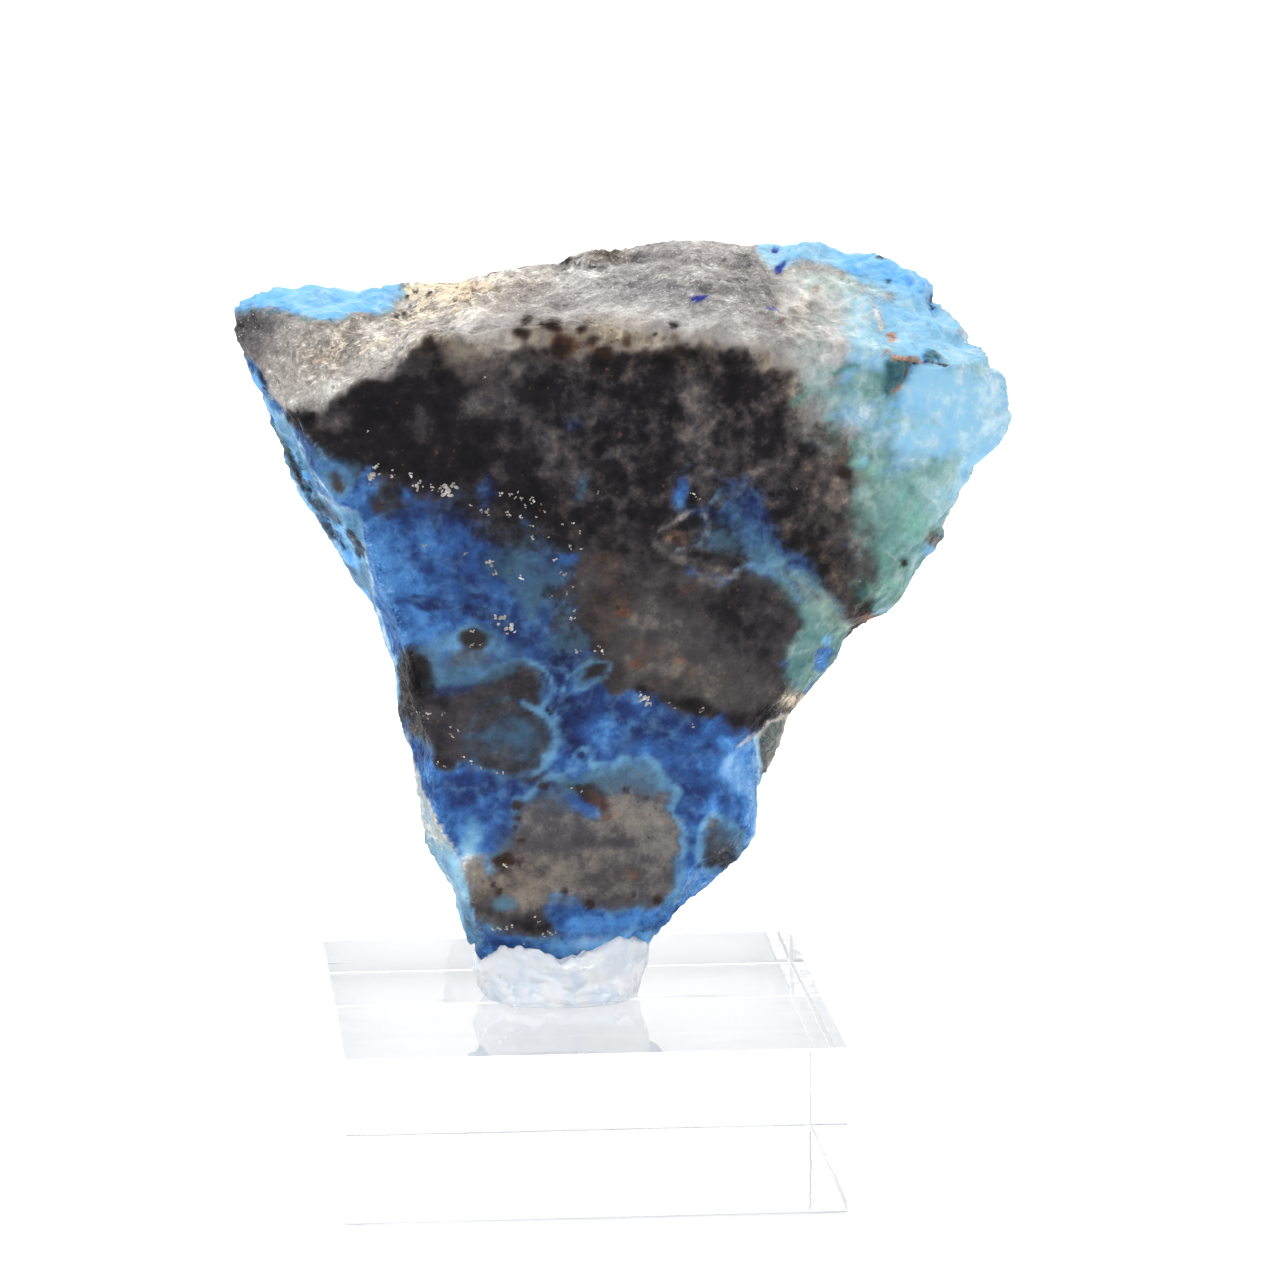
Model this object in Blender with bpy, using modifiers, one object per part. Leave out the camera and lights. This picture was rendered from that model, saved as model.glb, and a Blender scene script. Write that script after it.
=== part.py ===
"""Azurite malachite specimen: a rough stone with one smooth front face, held
upright by a lump of clear gel on a clear square block.

Metres, +Z up.  The origin is the centre of the block's underside; the front
of the block looks along -Y.  Every length below is in millimetres and is
scaled by MM when it becomes geometry.
"""
import math

import bmesh
import bpy
from mathutils import Matrix, Vector, noise

MM = 0.001

# ---- driving dimensions (mm) -------------------------------------------------
BLOCK_SIDE = 30.0          # square clear block
BLOCK_HEIGHT = 10.0
BLOCK_EDGE = 0.35          # its polished edge bevel

GEL_LENGTH = 12.4          # lump of gel, along X
GEL_DEPTH = 10.2           # and along Y
GEL_HEIGHT = 3.7           # above the block
GEL_CENTRE = (-0.45, -0.15)
GAP = 0.05                 # clearance where gel, stone and block meet

STONE_VOXEL = 1.22         # facet size of the stone's solid
ROUGHNESS = 0.42           # height of the fracture relief, sides and back
FRONT_ROUGHNESS = 0.05     # the smooth front face is nearly flat
SEED = Vector((17.3, 4.1, 9.7))

# ---- front-view drawing grid -------------------------------------------------
# The stone is laid out on a square drawing grid, GRID_HALF units from its
# middle to each side, seen from the front, a little from the left and from
# above, in mild perspective.  Each point also has FRONT, its distance in mm in
# front of the block's middle plane.
GRID_HALF = 640.0
VIEW_TURN = math.radians(-5.3)
VIEW_DROP = math.radians(10.7)
VIEW_DISTANCE = 365.0
GRID_SCALE = 6020.0
VIEW_CENTRE = Vector((3.9, 0.0, 31.9))

FORWARD = Vector((-math.sin(VIEW_TURN) * math.cos(VIEW_DROP),
                  math.cos(VIEW_TURN) * math.cos(VIEW_DROP),
                  -math.sin(VIEW_DROP)))
RIGHT = FORWARD.cross(Vector((0, 0, 1))).normalized()
UP = RIGHT.cross(FORWARD)
EYE = VIEW_CENTRE - FORWARD * VIEW_DISTANCE


def at(gx, gy, front):
    """Point in mm at drawing position gx (right), gy (down), FRONT mm forward."""
    ray = (FORWARD * GRID_SCALE + RIGHT * (gx - GRID_HALF)
           - UP * (gy - GRID_HALF))
    return EYE + ray * ((-front - EYE.y) / ray.y)


def drawn(point):
    """Drawing position and FRONT distance of a point in mm."""
    d = point - EYE
    reach = d.dot(FORWARD)
    return (GRID_HALF + d.dot(RIGHT) * GRID_SCALE / reach,
            GRID_HALF - d.dot(UP) * GRID_SCALE / reach, -point.y)


# The stone's outline from the front, clockwise from its upper left corner.
OUTLINE = [
    (233, 309), (250, 295), (274, 285), (313, 282), (349, 288), (385, 284),
    (440, 281), (470, 277), (496, 271), (536, 264), (567, 256), (594, 249),
    (634, 246), (670, 240), (706, 240), (742, 245), (802, 240), (841, 251),
    (886, 256), (932, 282), (942, 305), (971, 340), (1000, 369), (1010, 403),
    (1010, 434), (988, 458), (961, 496), (943, 527), (919, 569), (889, 613),
    (843, 642), (815, 684), (789, 715), (780, 746), (760, 790), (757, 835),
    (725, 871), (690, 900), (655, 940), (628, 962), (560, 978), (500, 972),
    (478, 957), (461, 933), (450, 886), (423, 842), (413, 780), (397, 710),
    (394, 665), (378, 620), (353, 582), (313, 516), (286, 469), (271, 429),
    (251, 383), (240, 355),
]
OUTLINE_CENTRE = (615.0, 560.0)

# Corners of the rough block, each with its FRONT distance: the rim of the
# front face, the outer rim, and the back.
FRONT_RIM = [
    (288, 413, 6.0), (350, 386, 7.2), (405, 350, 7.8), (440, 334, 8.1),
    (500, 322, 8.3), (560, 321, 8.4), (620, 320, 8.4), (700, 327, 8.1),
    (773, 346, 7.6), (840, 356, 6.6), (900, 368, 5.2), (955, 385, 3.2),
    (300, 450, 6.1), (325, 497, 6.2), (347, 512, 6.4), (376, 619, 6.1),
    (408, 742, 5.4), (447, 839, 4.6), (474, 925, 3.8), (482, 952, 3.4),
    (560, 966, 3.7), (630, 950, 3.5), (700, 876, 3.9), (738, 838, 3.7),
    (746, 750, 4.9), (784, 706, 4.6), (862, 600, 4.2), (925, 520, 2.5),
    (560, 560, 7.5), (640, 460, 8.1), (600, 700, 6.4),
]
OUTER_RIM = [
    (233, 312, -1.0), (262, 288, -3.0), (313, 282, -4.6), (385, 284, -5.4),
    (470, 277, -6.0), (536, 264, -6.4), (594, 249, -6.8), (670, 240, -7.2),
    (742, 243, -7.2), (802, 240, -7.0), (873, 251, -6.4), (932, 284, -4.8),
    (971, 340, -3.0), (1003, 380, -1.8), (1011, 417, -1.2), (988, 458, -0.8),
    (943, 527, -0.6), (905, 590, -0.8), (843, 650, -1.4), (786, 724, -2.8),
    (764, 790, -2.0), (757, 835, 0.4), (725, 871, 0.6), (660, 934, 0.4),
    (628, 962, 0.4), (500, 972, 0.0), (476, 956, 0.0), (454, 909, -0.6),
    (438, 868, -1.4), (419, 809, -1.8), (403, 735, -1.0), (385, 645, -0.4),
    (346, 568, 0.2), (306, 510, 1.0), (280, 446, 1.2), (251, 383, 0.4),
]
BACK = [
    (300, 318, -8.0), (420, 322, -10.4), (560, 306, -11.4), (700, 296, -11.4),
    (820, 306, -10.6), (905, 350, -8.6), (950, 430, -6.4), (880, 540, -7.2),
    (790, 640, -7.6), (716, 760, -6.8), (660, 880, -4.6), (616, 950, -3.4),
    (510, 955, -3.4), (462, 850, -5.4), (430, 740, -6.8), (390, 620, -7.8),
    (330, 500, -8.0), (288, 410, -7.8), (560, 560, -11.2), (650, 700, -9.2),
]

# Flat breaks knocked off the back and sides: a point on each, laid out the
# same way, and its outward direction as (right, up, towards the front).
BREAKS = [
    ((470, 470, -9.6), (-0.34, -0.16, -0.93)),
    ((760, 430, -10.0), (0.42, 0.10, -0.90)),
    ((640, 640, -9.6), (0.08, -0.25, -0.96)),
    ((330, 330, -7.6), (-0.62, 0.40, -0.67)),
    ((900, 330, -7.6), (0.55, 0.55, -0.62)),
    ((560, 284, -9.4), (-0.06, 0.80, -0.60)),
    ((770, 740, -5.6), (0.80, -0.20, -0.56)),
]

# Hollows broken out of the solid: centre, radius (mm) and depth of the bite.
HOLLOWS = [
    ((600, 470, -11.4), 8.5, 1.3),
    ((800, 560, -7.4), 5.0, 0.9),
    ((420, 640, -7.6), 5.5, 1.0),
    ((680, 820, -6.0), 4.5, 0.8),
    ((930, 340, -7.0), 4.0, 0.7),
    ((300, 470, -5.0), 4.0, 0.7),
    ((520, 280, -4.0), 4.5, 0.5),
    ((420, 800, -2.6), 3.5, 0.6),
]


def material(name, colour, roughness, metallic=0.0, transmission=0.0, ior=1.5):
    mat = bpy.data.materials.new(name)
    mat.use_nodes = True
    shader = mat.node_tree.nodes["Principled BSDF"]
    shader.inputs["Base Color"].default_value = (*colour, 1.0)
    shader.inputs["Roughness"].default_value = roughness
    shader.inputs["Metallic"].default_value = metallic
    shader.inputs["Transmission Weight"].default_value = transmission
    shader.inputs["IOR"].default_value = ior
    mat.diffuse_color = (*colour, 1.0)
    return mat


def new_object(name, bm, coll, mat=None):
    mesh = bpy.data.meshes.new(name)
    bm.to_mesh(mesh)
    bm.free()
    obj = bpy.data.objects.new(name, mesh)
    coll.objects.link(obj)
    if mat is not None:
        mesh.materials.append(mat)
    return obj


def evaluated_bmesh(obj):
    """The object's mesh after its modifiers, as a fresh bmesh."""
    depsgraph = bpy.context.evaluated_depsgraph_get()
    bm = bmesh.new()
    bm.from_object(obj, depsgraph)
    return bm


def ray_radius(outline, angle):
    """Distance from OUTLINE_CENTRE to the outline along an angle."""
    dx, dy = math.cos(angle), math.sin(angle)
    best = 0.0
    count = len(outline)
    for i in range(count):
        ax, ay = outline[i]
        bx, by = outline[(i + 1) % count]
        ax, ay = ax - OUTLINE_CENTRE[0], ay - OUTLINE_CENTRE[1]
        bx, by = bx - OUTLINE_CENTRE[0], by - OUTLINE_CENTRE[1]
        ex, ey = bx - ax, by - ay
        det = ex * dy - ey * dx
        if abs(det) < 1e-9:
            continue
        t = (ax * ey - ay * ex) / -det
        s = (ax * dy - ay * dx) / -det
        if 0.0 <= s <= 1.0 and t > best:
            best = t
    return best


def smooth_step(low, high, value):
    t = min(1.0, max(0.0, (value - low) / (high - low)))
    return t * t * (3.0 - 2.0 * t)


def fit_to_outline(bm, steps=120):
    """Eases the mesh in or out in the front view until its edge is the outline."""
    target = [ray_radius(OUTLINE, 2 * math.pi * i / steps) for i in range(steps)]
    reached = [0.0] * steps
    polar = []
    for v in bm.verts:
        gx, gy, front = drawn(v.co / MM)
        dx, dy = gx - OUTLINE_CENTRE[0], gy - OUTLINE_CENTRE[1]
        radius = math.hypot(dx, dy)
        angle = math.atan2(dy, dx) % (2 * math.pi)
        polar.append((radius, angle, front))
        slot = angle / (2 * math.pi) * steps
        for k in (math.floor(slot), math.floor(slot) + 1):
            reached[k % steps] = max(reached[k % steps], radius)
    current = [(reached[i - 1] + 2 * reached[i] + reached[(i + 1) % steps]) / 4
               for i in range(steps)]
    for v, (radius, angle, front) in zip(bm.verts, polar):
        slot = angle / (2 * math.pi) * steps
        low = math.floor(slot)
        mix = slot - low
        now = current[low % steps] * (1 - mix) + current[(low + 1) % steps] * mix
        goal = target[low % steps] * (1 - mix) + target[(low + 1) % steps] * mix
        factor = 1.0 + (goal / now - 1.0) * smooth_step(0.55, 0.97, radius / now)
        v.co = at(OUTLINE_CENTRE[0] + radius * factor * math.cos(angle),
                  OUTLINE_CENTRE[1] + radius * factor * math.sin(angle),
                  front) * MM


def build_stone(coll, cutters, mat):
    bm = bmesh.new()
    for gx, gy, front in FRONT_RIM + OUTER_RIM + BACK:
        bm.verts.new(at(gx, gy, front) * MM)
    hull = bmesh.ops.convex_hull(bm, input=list(bm.verts))
    spare = {e for e in hull["geom_interior"] + hull["geom_unused"]
             if isinstance(e, bmesh.types.BMVert)}
    bmesh.ops.delete(bm, geom=list(spare), context="VERTS")

    for place, (right, up, front) in BREAKS:
        normal = (RIGHT * right + UP * up - FORWARD * front).normalized()
        cut = bmesh.ops.bisect_plane(
            bm, geom=bm.verts[:] + bm.edges[:] + bm.faces[:],
            plane_co=at(*place) * MM, plane_no=normal, clear_outer=True)
        rim = [e for e in cut["geom_cut"] if isinstance(e, bmesh.types.BMEdge)]
        bmesh.ops.edgeloop_fill(bm, edges=rim)
    bmesh.ops.recalc_face_normals(bm, faces=bm.faces)

    block = new_object("stone_rough", bm, cutters)
    block.hide_render = True
    block.display_type = "WIRE"
    remesh = block.modifiers.new("facets", "REMESH")
    remesh.mode = "VOXEL"
    remesh.voxel_size = STONE_VOXEL * MM
    bm = evaluated_bmesh(block)

    for place, radius, bite in HOLLOWS:
        centre = at(*place)
        for v in bm.verts:
            reach = (v.co / MM - centre).length / radius
            if reach < 1.0:
                v.co -= v.normal * (bite * MM * smooth_step(1.0, 0.35, reach))
    front_face = [v for v in bm.verts if -v.normal.dot(FORWARD) > 0.9]
    for _ in range(14):
        bmesh.ops.smooth_vert(bm, verts=front_face, factor=0.5, use_axis_x=True,
                              use_axis_y=True, use_axis_z=True)
    bm.normal_update()

    moved = []
    for v in bm.verts:
        p = v.co / MM
        facing = smooth_step(0.55, 0.85, -v.normal.dot(FORWARD))
        height = ROUGHNESS * (1.0 - facing) + FRONT_ROUGHNESS * facing
        coarse = noise.noise(p * 0.16 + SEED)
        medium = noise.noise(p * 0.42 + SEED * 2.0)
        ridged = 0.5 - abs(noise.noise(p * 0.27 + SEED * 3.0))
        moved.append(v.co + v.normal
                     * (height * (1.2 * coarse + 0.8 * medium + 0.7 * ridged) * MM))
    for v, co in zip(bm.verts, moved):
        v.co = co
    fit_to_outline(bm)
    bmesh.ops.triangulate(bm, faces=bm.faces)
    bmesh.ops.recalc_face_normals(bm, faces=bm.faces)
    return new_object("azurite_malachite_stone", bm, coll, mat)


def build_gel(coll, cutters, mat, stone):
    """A squashed, crumpled lump with a flat foot and the stone's own print."""
    bm = bmesh.new()
    bmesh.ops.create_icosphere(bm, subdivisions=5, radius=1.0)
    for v in bm.verts:
        d = v.co.normalized()
        swell = (1.0 + 0.10 * noise.noise(d * 1.3 + SEED)
                 + 0.09 * (0.5 - abs(noise.noise(d * 2.4 + SEED * 1.7))))
        flat = math.copysign(abs(d.z) ** 0.72, d.z)
        v.co = Vector((
            (GEL_CENTRE[0] + d.x * swell * GEL_LENGTH / 2) * MM,
            (GEL_CENTRE[1] + d.y * swell * GEL_DEPTH / 2) * MM,
            (BLOCK_HEIGHT + flat * swell * GEL_HEIGHT) * MM))
    cut = bmesh.ops.bisect_plane(
        bm, geom=bm.verts[:] + bm.edges[:] + bm.faces[:],
        plane_co=(0, 0, (BLOCK_HEIGHT + GAP) * MM), plane_no=(0, 0, -1),
        clear_outer=True)
    rim = [e for e in cut["geom_cut"] if isinstance(e, bmesh.types.BMEdge)]
    bmesh.ops.edgeloop_fill(bm, edges=rim)
    bmesh.ops.recalc_face_normals(bm, faces=bm.faces)
    lump = new_object("gel_lump", bm, cutters)
    lump.hide_render = True
    lump.display_type = "WIRE"

    print_bm = bmesh.new()
    print_bm.from_mesh(stone.data)
    grown = [v.co + v.normal * (GAP * 1.6 * MM) for v in print_bm.verts]
    for v, co in zip(print_bm.verts, grown):
        v.co = co
    stamp = new_object("stone_print", print_bm, cutters)
    stamp.hide_render = True
    stamp.display_type = "WIRE"

    socket = lump.modifiers.new("print", "BOOLEAN")
    socket.operation = "DIFFERENCE"
    socket.solver = "EXACT"
    socket.object = stamp
    thin = lump.modifiers.new("lighter", "DECIMATE")
    thin.ratio = 0.42
    bm = evaluated_bmesh(lump)
    bmesh.ops.triangulate(bm, faces=bm.faces)
    return new_object("mounting_putty", bm, coll, mat)


def build_block(coll, mat):
    bm = bmesh.new()
    bmesh.ops.create_cube(bm, size=1.0, matrix=(
        Matrix.Translation((0, 0, BLOCK_HEIGHT * MM / 2))
        @ Matrix.Diagonal((BLOCK_SIDE * MM, BLOCK_SIDE * MM, BLOCK_HEIGHT * MM, 1))))
    block = new_object("acrylic_block", bm, coll, mat)
    bevel = block.modifiers.new("polished_edges", "BEVEL")
    bevel.width = BLOCK_EDGE * MM
    bevel.segments = 3
    return block


def main():
    for obj in list(bpy.data.objects):
        bpy.data.objects.remove(obj, do_unlink=True)
    parts = bpy.data.collections.new("azurite_malachite")
    cutters = bpy.data.collections.new("cutters")
    bpy.context.scene.collection.children.link(parts)
    bpy.context.scene.collection.children.link(cutters)

    ore = material("copper_ore", (0.055, 0.13, 0.26), 0.55)
    gel = material("clear_gel", (0.93, 0.96, 1.0), 0.12, transmission=1.0, ior=1.43)
    acrylic = material("clear_acrylic", (1.0, 1.0, 1.0), 0.02,
                       transmission=1.0, ior=1.49)

    stone = build_stone(parts, cutters, ore)
    build_gel(parts, cutters, gel, stone)
    build_block(parts, acrylic)


main()
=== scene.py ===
"""Looks of the azurite malachite specimen: the stone's fracture relief and its
mineral zones, the crumpled clear gel and the clear block, with soft studio
light on a pale floor.  Lengths are in millimetres until they become geometry.
"""
import math

import bmesh
import bpy
import numpy as np
from mathutils import Matrix, Vector
from mathutils.bvhtree import BVHTree


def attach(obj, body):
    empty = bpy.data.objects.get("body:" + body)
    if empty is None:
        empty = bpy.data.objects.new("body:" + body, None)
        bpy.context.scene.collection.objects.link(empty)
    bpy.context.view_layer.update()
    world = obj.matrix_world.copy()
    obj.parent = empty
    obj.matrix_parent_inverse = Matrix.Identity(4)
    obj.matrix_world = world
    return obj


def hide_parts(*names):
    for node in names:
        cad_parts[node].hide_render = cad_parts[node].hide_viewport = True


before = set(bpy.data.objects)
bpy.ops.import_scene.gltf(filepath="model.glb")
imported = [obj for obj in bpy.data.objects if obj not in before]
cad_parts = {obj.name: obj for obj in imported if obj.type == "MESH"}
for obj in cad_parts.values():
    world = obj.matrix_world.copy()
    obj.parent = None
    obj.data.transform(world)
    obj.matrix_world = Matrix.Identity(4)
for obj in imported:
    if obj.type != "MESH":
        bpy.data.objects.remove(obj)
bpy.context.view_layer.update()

MM = 0.001
STONE_VOXEL = 0.235

# ---- the front view's drawing grid, the same as the solid's own ---------------
GRID_HALF = 640.0
VIEW_TURN = math.radians(-5.3)
VIEW_DROP = math.radians(10.7)
VIEW_DISTANCE = 365.0
GRID_SCALE = 6020.0
VIEW_CENTRE = np.array((3.9, 0.0, 31.9))
FORWARD = np.array((-math.sin(VIEW_TURN) * math.cos(VIEW_DROP),
                    math.cos(VIEW_TURN) * math.cos(VIEW_DROP),
                    -math.sin(VIEW_DROP)))
RIGHT = np.cross(FORWARD, (0.0, 0.0, 1.0))
RIGHT /= np.linalg.norm(RIGHT)
UP = np.cross(RIGHT, FORWARD)
EYE = VIEW_CENTRE - FORWARD * VIEW_DISTANCE
PX = VIEW_DISTANCE / GRID_SCALE          # mm for one grid unit, about 0.061


def at(gx, gy, front):
    """Points in mm at drawing positions gx (right), gy (down), FRONT mm forward."""
    gx, gy, front = np.broadcast_arrays(np.asarray(gx, float), gy, front)
    ray = (FORWARD * GRID_SCALE + (gx - GRID_HALF)[..., None] * RIGHT
           - (gy - GRID_HALF)[..., None] * UP)
    return EYE + ray * ((-front - EYE[1]) / ray[..., 1])[..., None]


def drawn(points):
    d = points - EYE
    reach = d @ FORWARD
    return (GRID_HALF + d @ RIGHT * GRID_SCALE / reach,
            GRID_HALF - d @ UP * GRID_SCALE / reach)


def smooth_step(low, high, value):
    t = np.clip((value - low) / (high - low), 0.0, 1.0)
    return t * t * (3.0 - 2.0 * t)


# ---- seeded noise on arrays of points ------------------------------------------
def lattice(ix, iy, iz, seed):
    """A fixed pseudo-random number from -1 to 1 for each lattice point."""
    h = (ix.astype(np.int64) * 374761393 + iy.astype(np.int64) * 668265263
         + iz.astype(np.int64) * 2147483647 + seed * 1274126177) & 0xFFFFFFFF
    h = ((h ^ (h >> 13)) * 1274126177) & 0xFFFFFFFF
    h = ((h ^ (h >> 16)) * 2246822519) & 0xFFFFFFFF
    h = h ^ (h >> 15)
    return (h & 0xFFFFFF) / 8388607.5 - 1.0


def cloud(p, scale, seed=0, octaves=1, gain=0.5):
    """Smooth value noise, -1 to 1."""
    total, weight, norm = 0.0, 1.0, 0.0
    for octave in range(octaves):
        q = p * scale * 2.03 ** octave + 31.7 * (octave + 1) + seed * 7.13
        cell = np.floor(q)
        f = q - cell
        f = f * f * f * (f * (f * 6 - 15) + 10)
        c = cell.astype(np.int64)
        value = 0.0
        for dx in (0, 1):
            wx = f[:, 0] if dx else 1 - f[:, 0]
            for dy in (0, 1):
                wy = f[:, 1] if dy else 1 - f[:, 1]
                for dz in (0, 1):
                    wz = f[:, 2] if dz else 1 - f[:, 2]
                    value = value + wx * wy * wz * lattice(
                        c[:, 0] + dx, c[:, 1] + dy, c[:, 2] + dz, seed + octave)
        total = total + weight * value
        norm += weight
        weight *= gain
    return total / norm


def turned(p, seed):
    """The points turned about an odd axis, so that facets don't line up."""
    rng = np.random.default_rng(seed)
    q, _ = np.linalg.qr(rng.normal(size=(3, 3)))
    return p @ q


def facets(p, scale, seed=0):
    """Flat-sided noise: straight planes that meet in edges, -1 to 1."""
    q = turned(p, seed + 11) * scale + seed * 3.7 + 50.0
    cell = np.floor(q)
    f = q - cell
    c = cell.astype(np.int64)
    order = np.argsort(-f, axis=1)
    rows = np.arange(len(p))
    corner = c.copy()
    last = np.ones(len(p))
    value = np.zeros(len(p))
    for step in range(4):
        nxt = f[rows, order[:, step]] if step < 3 else np.zeros(len(p))
        value += (last - nxt) * lattice(corner[:, 0], corner[:, 1], corner[:, 2], seed)
        if step < 3:
            corner[rows, order[:, step]] += 1
        last = nxt
    return value


def cells(p, scale, seed=0):
    """Distance to the nearest and next scattered point, and a value for the nearest."""
    q = p * scale + seed * 5.3 + 40.0
    cell = np.floor(q).astype(np.int64)
    near = np.full(len(p), 9.0)
    second = np.full(len(p), 9.0)
    tag = np.zeros(len(p))
    for dx in (-1, 0, 1):
        for dy in (-1, 0, 1):
            for dz in (-1, 0, 1):
                ix, iy, iz = cell[:, 0] + dx, cell[:, 1] + dy, cell[:, 2] + dz
                px = ix + 0.5 + 0.45 * lattice(ix, iy, iz, seed + 101)
                py = iy + 0.5 + 0.45 * lattice(ix, iy, iz, seed + 102)
                pz = iz + 0.5 + 0.45 * lattice(ix, iy, iz, seed + 103)
                d = np.sqrt((q[:, 0] - px) ** 2 + (q[:, 1] - py) ** 2 + (q[:, 2] - pz) ** 2)
                closer = d < near
                second = np.where(closer, near, np.minimum(second, d))
                tag = np.where(closer, lattice(ix, iy, iz, seed + 104), tag)
                near = np.where(closer, d, near)
    return near, second, tag


# ---- the stone's layout ----------------------------------------------------------
FRONT_RIM = [
    (288, 413, 6.0), (350, 386, 7.2), (405, 350, 7.8), (440, 334, 8.1),
    (500, 322, 8.3), (560, 321, 8.4), (620, 320, 8.4), (700, 327, 8.1),
    (773, 346, 7.6), (840, 356, 6.6), (900, 368, 5.2), (955, 385, 3.2),
    (300, 450, 6.1), (325, 497, 6.2), (347, 512, 6.4), (376, 619, 6.1),
    (408, 742, 5.4), (447, 839, 4.6), (474, 925, 3.8), (482, 952, 3.4),
    (560, 966, 3.7), (630, 950, 3.5), (700, 876, 3.9), (738, 838, 3.7),
    (746, 750, 4.9), (784, 706, 4.6), (862, 600, 4.2), (925, 520, 2.5),
    (560, 560, 7.5), (640, 460, 8.1), (600, 700, 6.4),
]
OUTER_RIM = [
    (233, 312, -1.0), (262, 288, -3.0), (313, 282, -4.6), (385, 284, -5.4),
    (470, 277, -6.0), (536, 264, -6.4), (594, 249, -6.8), (670, 240, -7.2),
    (742, 243, -7.2), (802, 240, -7.0), (873, 251, -6.4), (932, 284, -4.8),
    (971, 340, -3.0), (1003, 380, -1.8), (1011, 417, -1.2), (988, 458, -0.8),
    (943, 527, -0.6), (905, 590, -0.8), (843, 650, -1.4), (786, 724, -2.8),
    (764, 790, -2.0), (757, 835, 0.4), (725, 871, 0.6), (660, 934, 0.4),
    (628, 962, 0.4), (500, 972, 0.0), (476, 956, 0.0), (454, 909, -0.6),
    (438, 868, -1.4), (419, 809, -1.8), (403, 735, -1.0), (385, 645, -0.4),
    (346, 568, 0.2), (306, 510, 1.0), (280, 446, 1.2), (251, 383, 0.4),
]
BACK = [
    (300, 318, -8.0), (420, 322, -10.4), (560, 306, -11.4), (700, 296, -11.4),
    (820, 306, -10.6), (905, 350, -8.6), (950, 430, -6.4), (880, 540, -7.2),
    (790, 640, -7.6), (716, 760, -6.8), (660, 880, -4.6), (616, 950, -3.4),
    (510, 955, -3.4), (462, 850, -5.4), (430, 740, -6.8), (390, 620, -7.8),
    (330, 500, -8.0), (288, 410, -7.8), (560, 560, -11.2), (650, 700, -9.2),
]
BREAKS = [
    ((470, 470, -9.6), (-0.34, -0.16, -0.93)),
    ((760, 430, -10.0), (0.42, 0.10, -0.90)),
    ((640, 640, -9.6), (0.08, -0.25, -0.96)),
    ((330, 330, -7.6), (-0.62, 0.40, -0.67)),
    ((900, 330, -7.6), (0.55, 0.55, -0.62)),
    ((560, 284, -9.4), (-0.06, 0.80, -0.60)),
    ((770, 740, -5.6), (0.80, -0.20, -0.56)),
]
HOLLOWS = [
    ((600, 470, -11.4), 8.5, 1.3),
    ((800, 560, -7.4), 5.0, 0.9),
    ((420, 640, -7.6), 5.5, 1.0),
    ((680, 820, -6.0), 4.5, 0.8),
    ((930, 340, -7.0), 4.0, 0.7),
    ((300, 470, -5.0), 4.0, 0.7),
    ((520, 280, -4.0), 4.5, 0.5),
    ((420, 800, -2.6), 3.5, 0.6),
]
# The outline from the front, clockwise from the upper left corner.
OUTLINE = [
    (233, 309), (240, 300), (250, 295), (258, 290.6), (274, 285), (296, 285),
    (313, 282), (326, 283), (349, 288), (367, 288), (385, 284), (411, 280),
    (440, 281), (458, 282), (470, 277), (496, 271), (536, 264), (558, 263),
    (567, 256), (594, 249), (619, 249), (634, 246), (660, 242), (670, 240),
    (706, 240), (730, 243), (742, 245), (762, 242), (785, 244), (802, 240),
    (817, 240), (831, 246), (841, 251), (873, 251), (886, 256), (898, 263),
    (913, 269), (932, 282), (935.5, 291), (935, 297), (942, 305), (953, 316),
    (965, 329.5), (971, 340), (981, 346), (988, 355.5), (992, 365), (1000, 369),
    (1007, 380), (1010, 403), (1013, 417), (1010, 434), (1002, 446), (988, 458),
    (976, 468), (974, 474), (961, 496), (946, 523), (943, 527), (946, 535),
    (941, 544), (927, 561), (919, 569), (909, 586), (901, 600), (889, 613),
    (870, 622), (856, 629), (843, 642), (838, 656), (836, 660), (815, 684),
    (789, 715), (786, 726), (780, 746), (770, 766), (762, 781), (759, 788),
    (760, 803), (759, 820), (757, 835), (751, 845), (740, 858), (725, 871),
    (712, 884), (700, 893), (690, 900), (680, 910), (668, 925), (655, 940),
    (628, 962), (560, 978), (500, 972), (480, 960), (476, 956), (461, 933),
    (454, 909), (450, 886), (438, 868), (423, 842), (419, 809), (413, 780),
    (410, 748), (403, 735), (397, 710), (396, 690), (394, 665), (385, 645),
    (378, 620), (371, 603), (353, 582), (346, 568), (327, 538), (313, 516),
    (306, 510), (300, 501), (286, 469), (280, 446), (271, 429), (263, 404),
    (251, 383), (240, 355), (233, 336), (233, 321),
]
OUTLINE_CENTRE = (615.0, 560.0)

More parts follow.
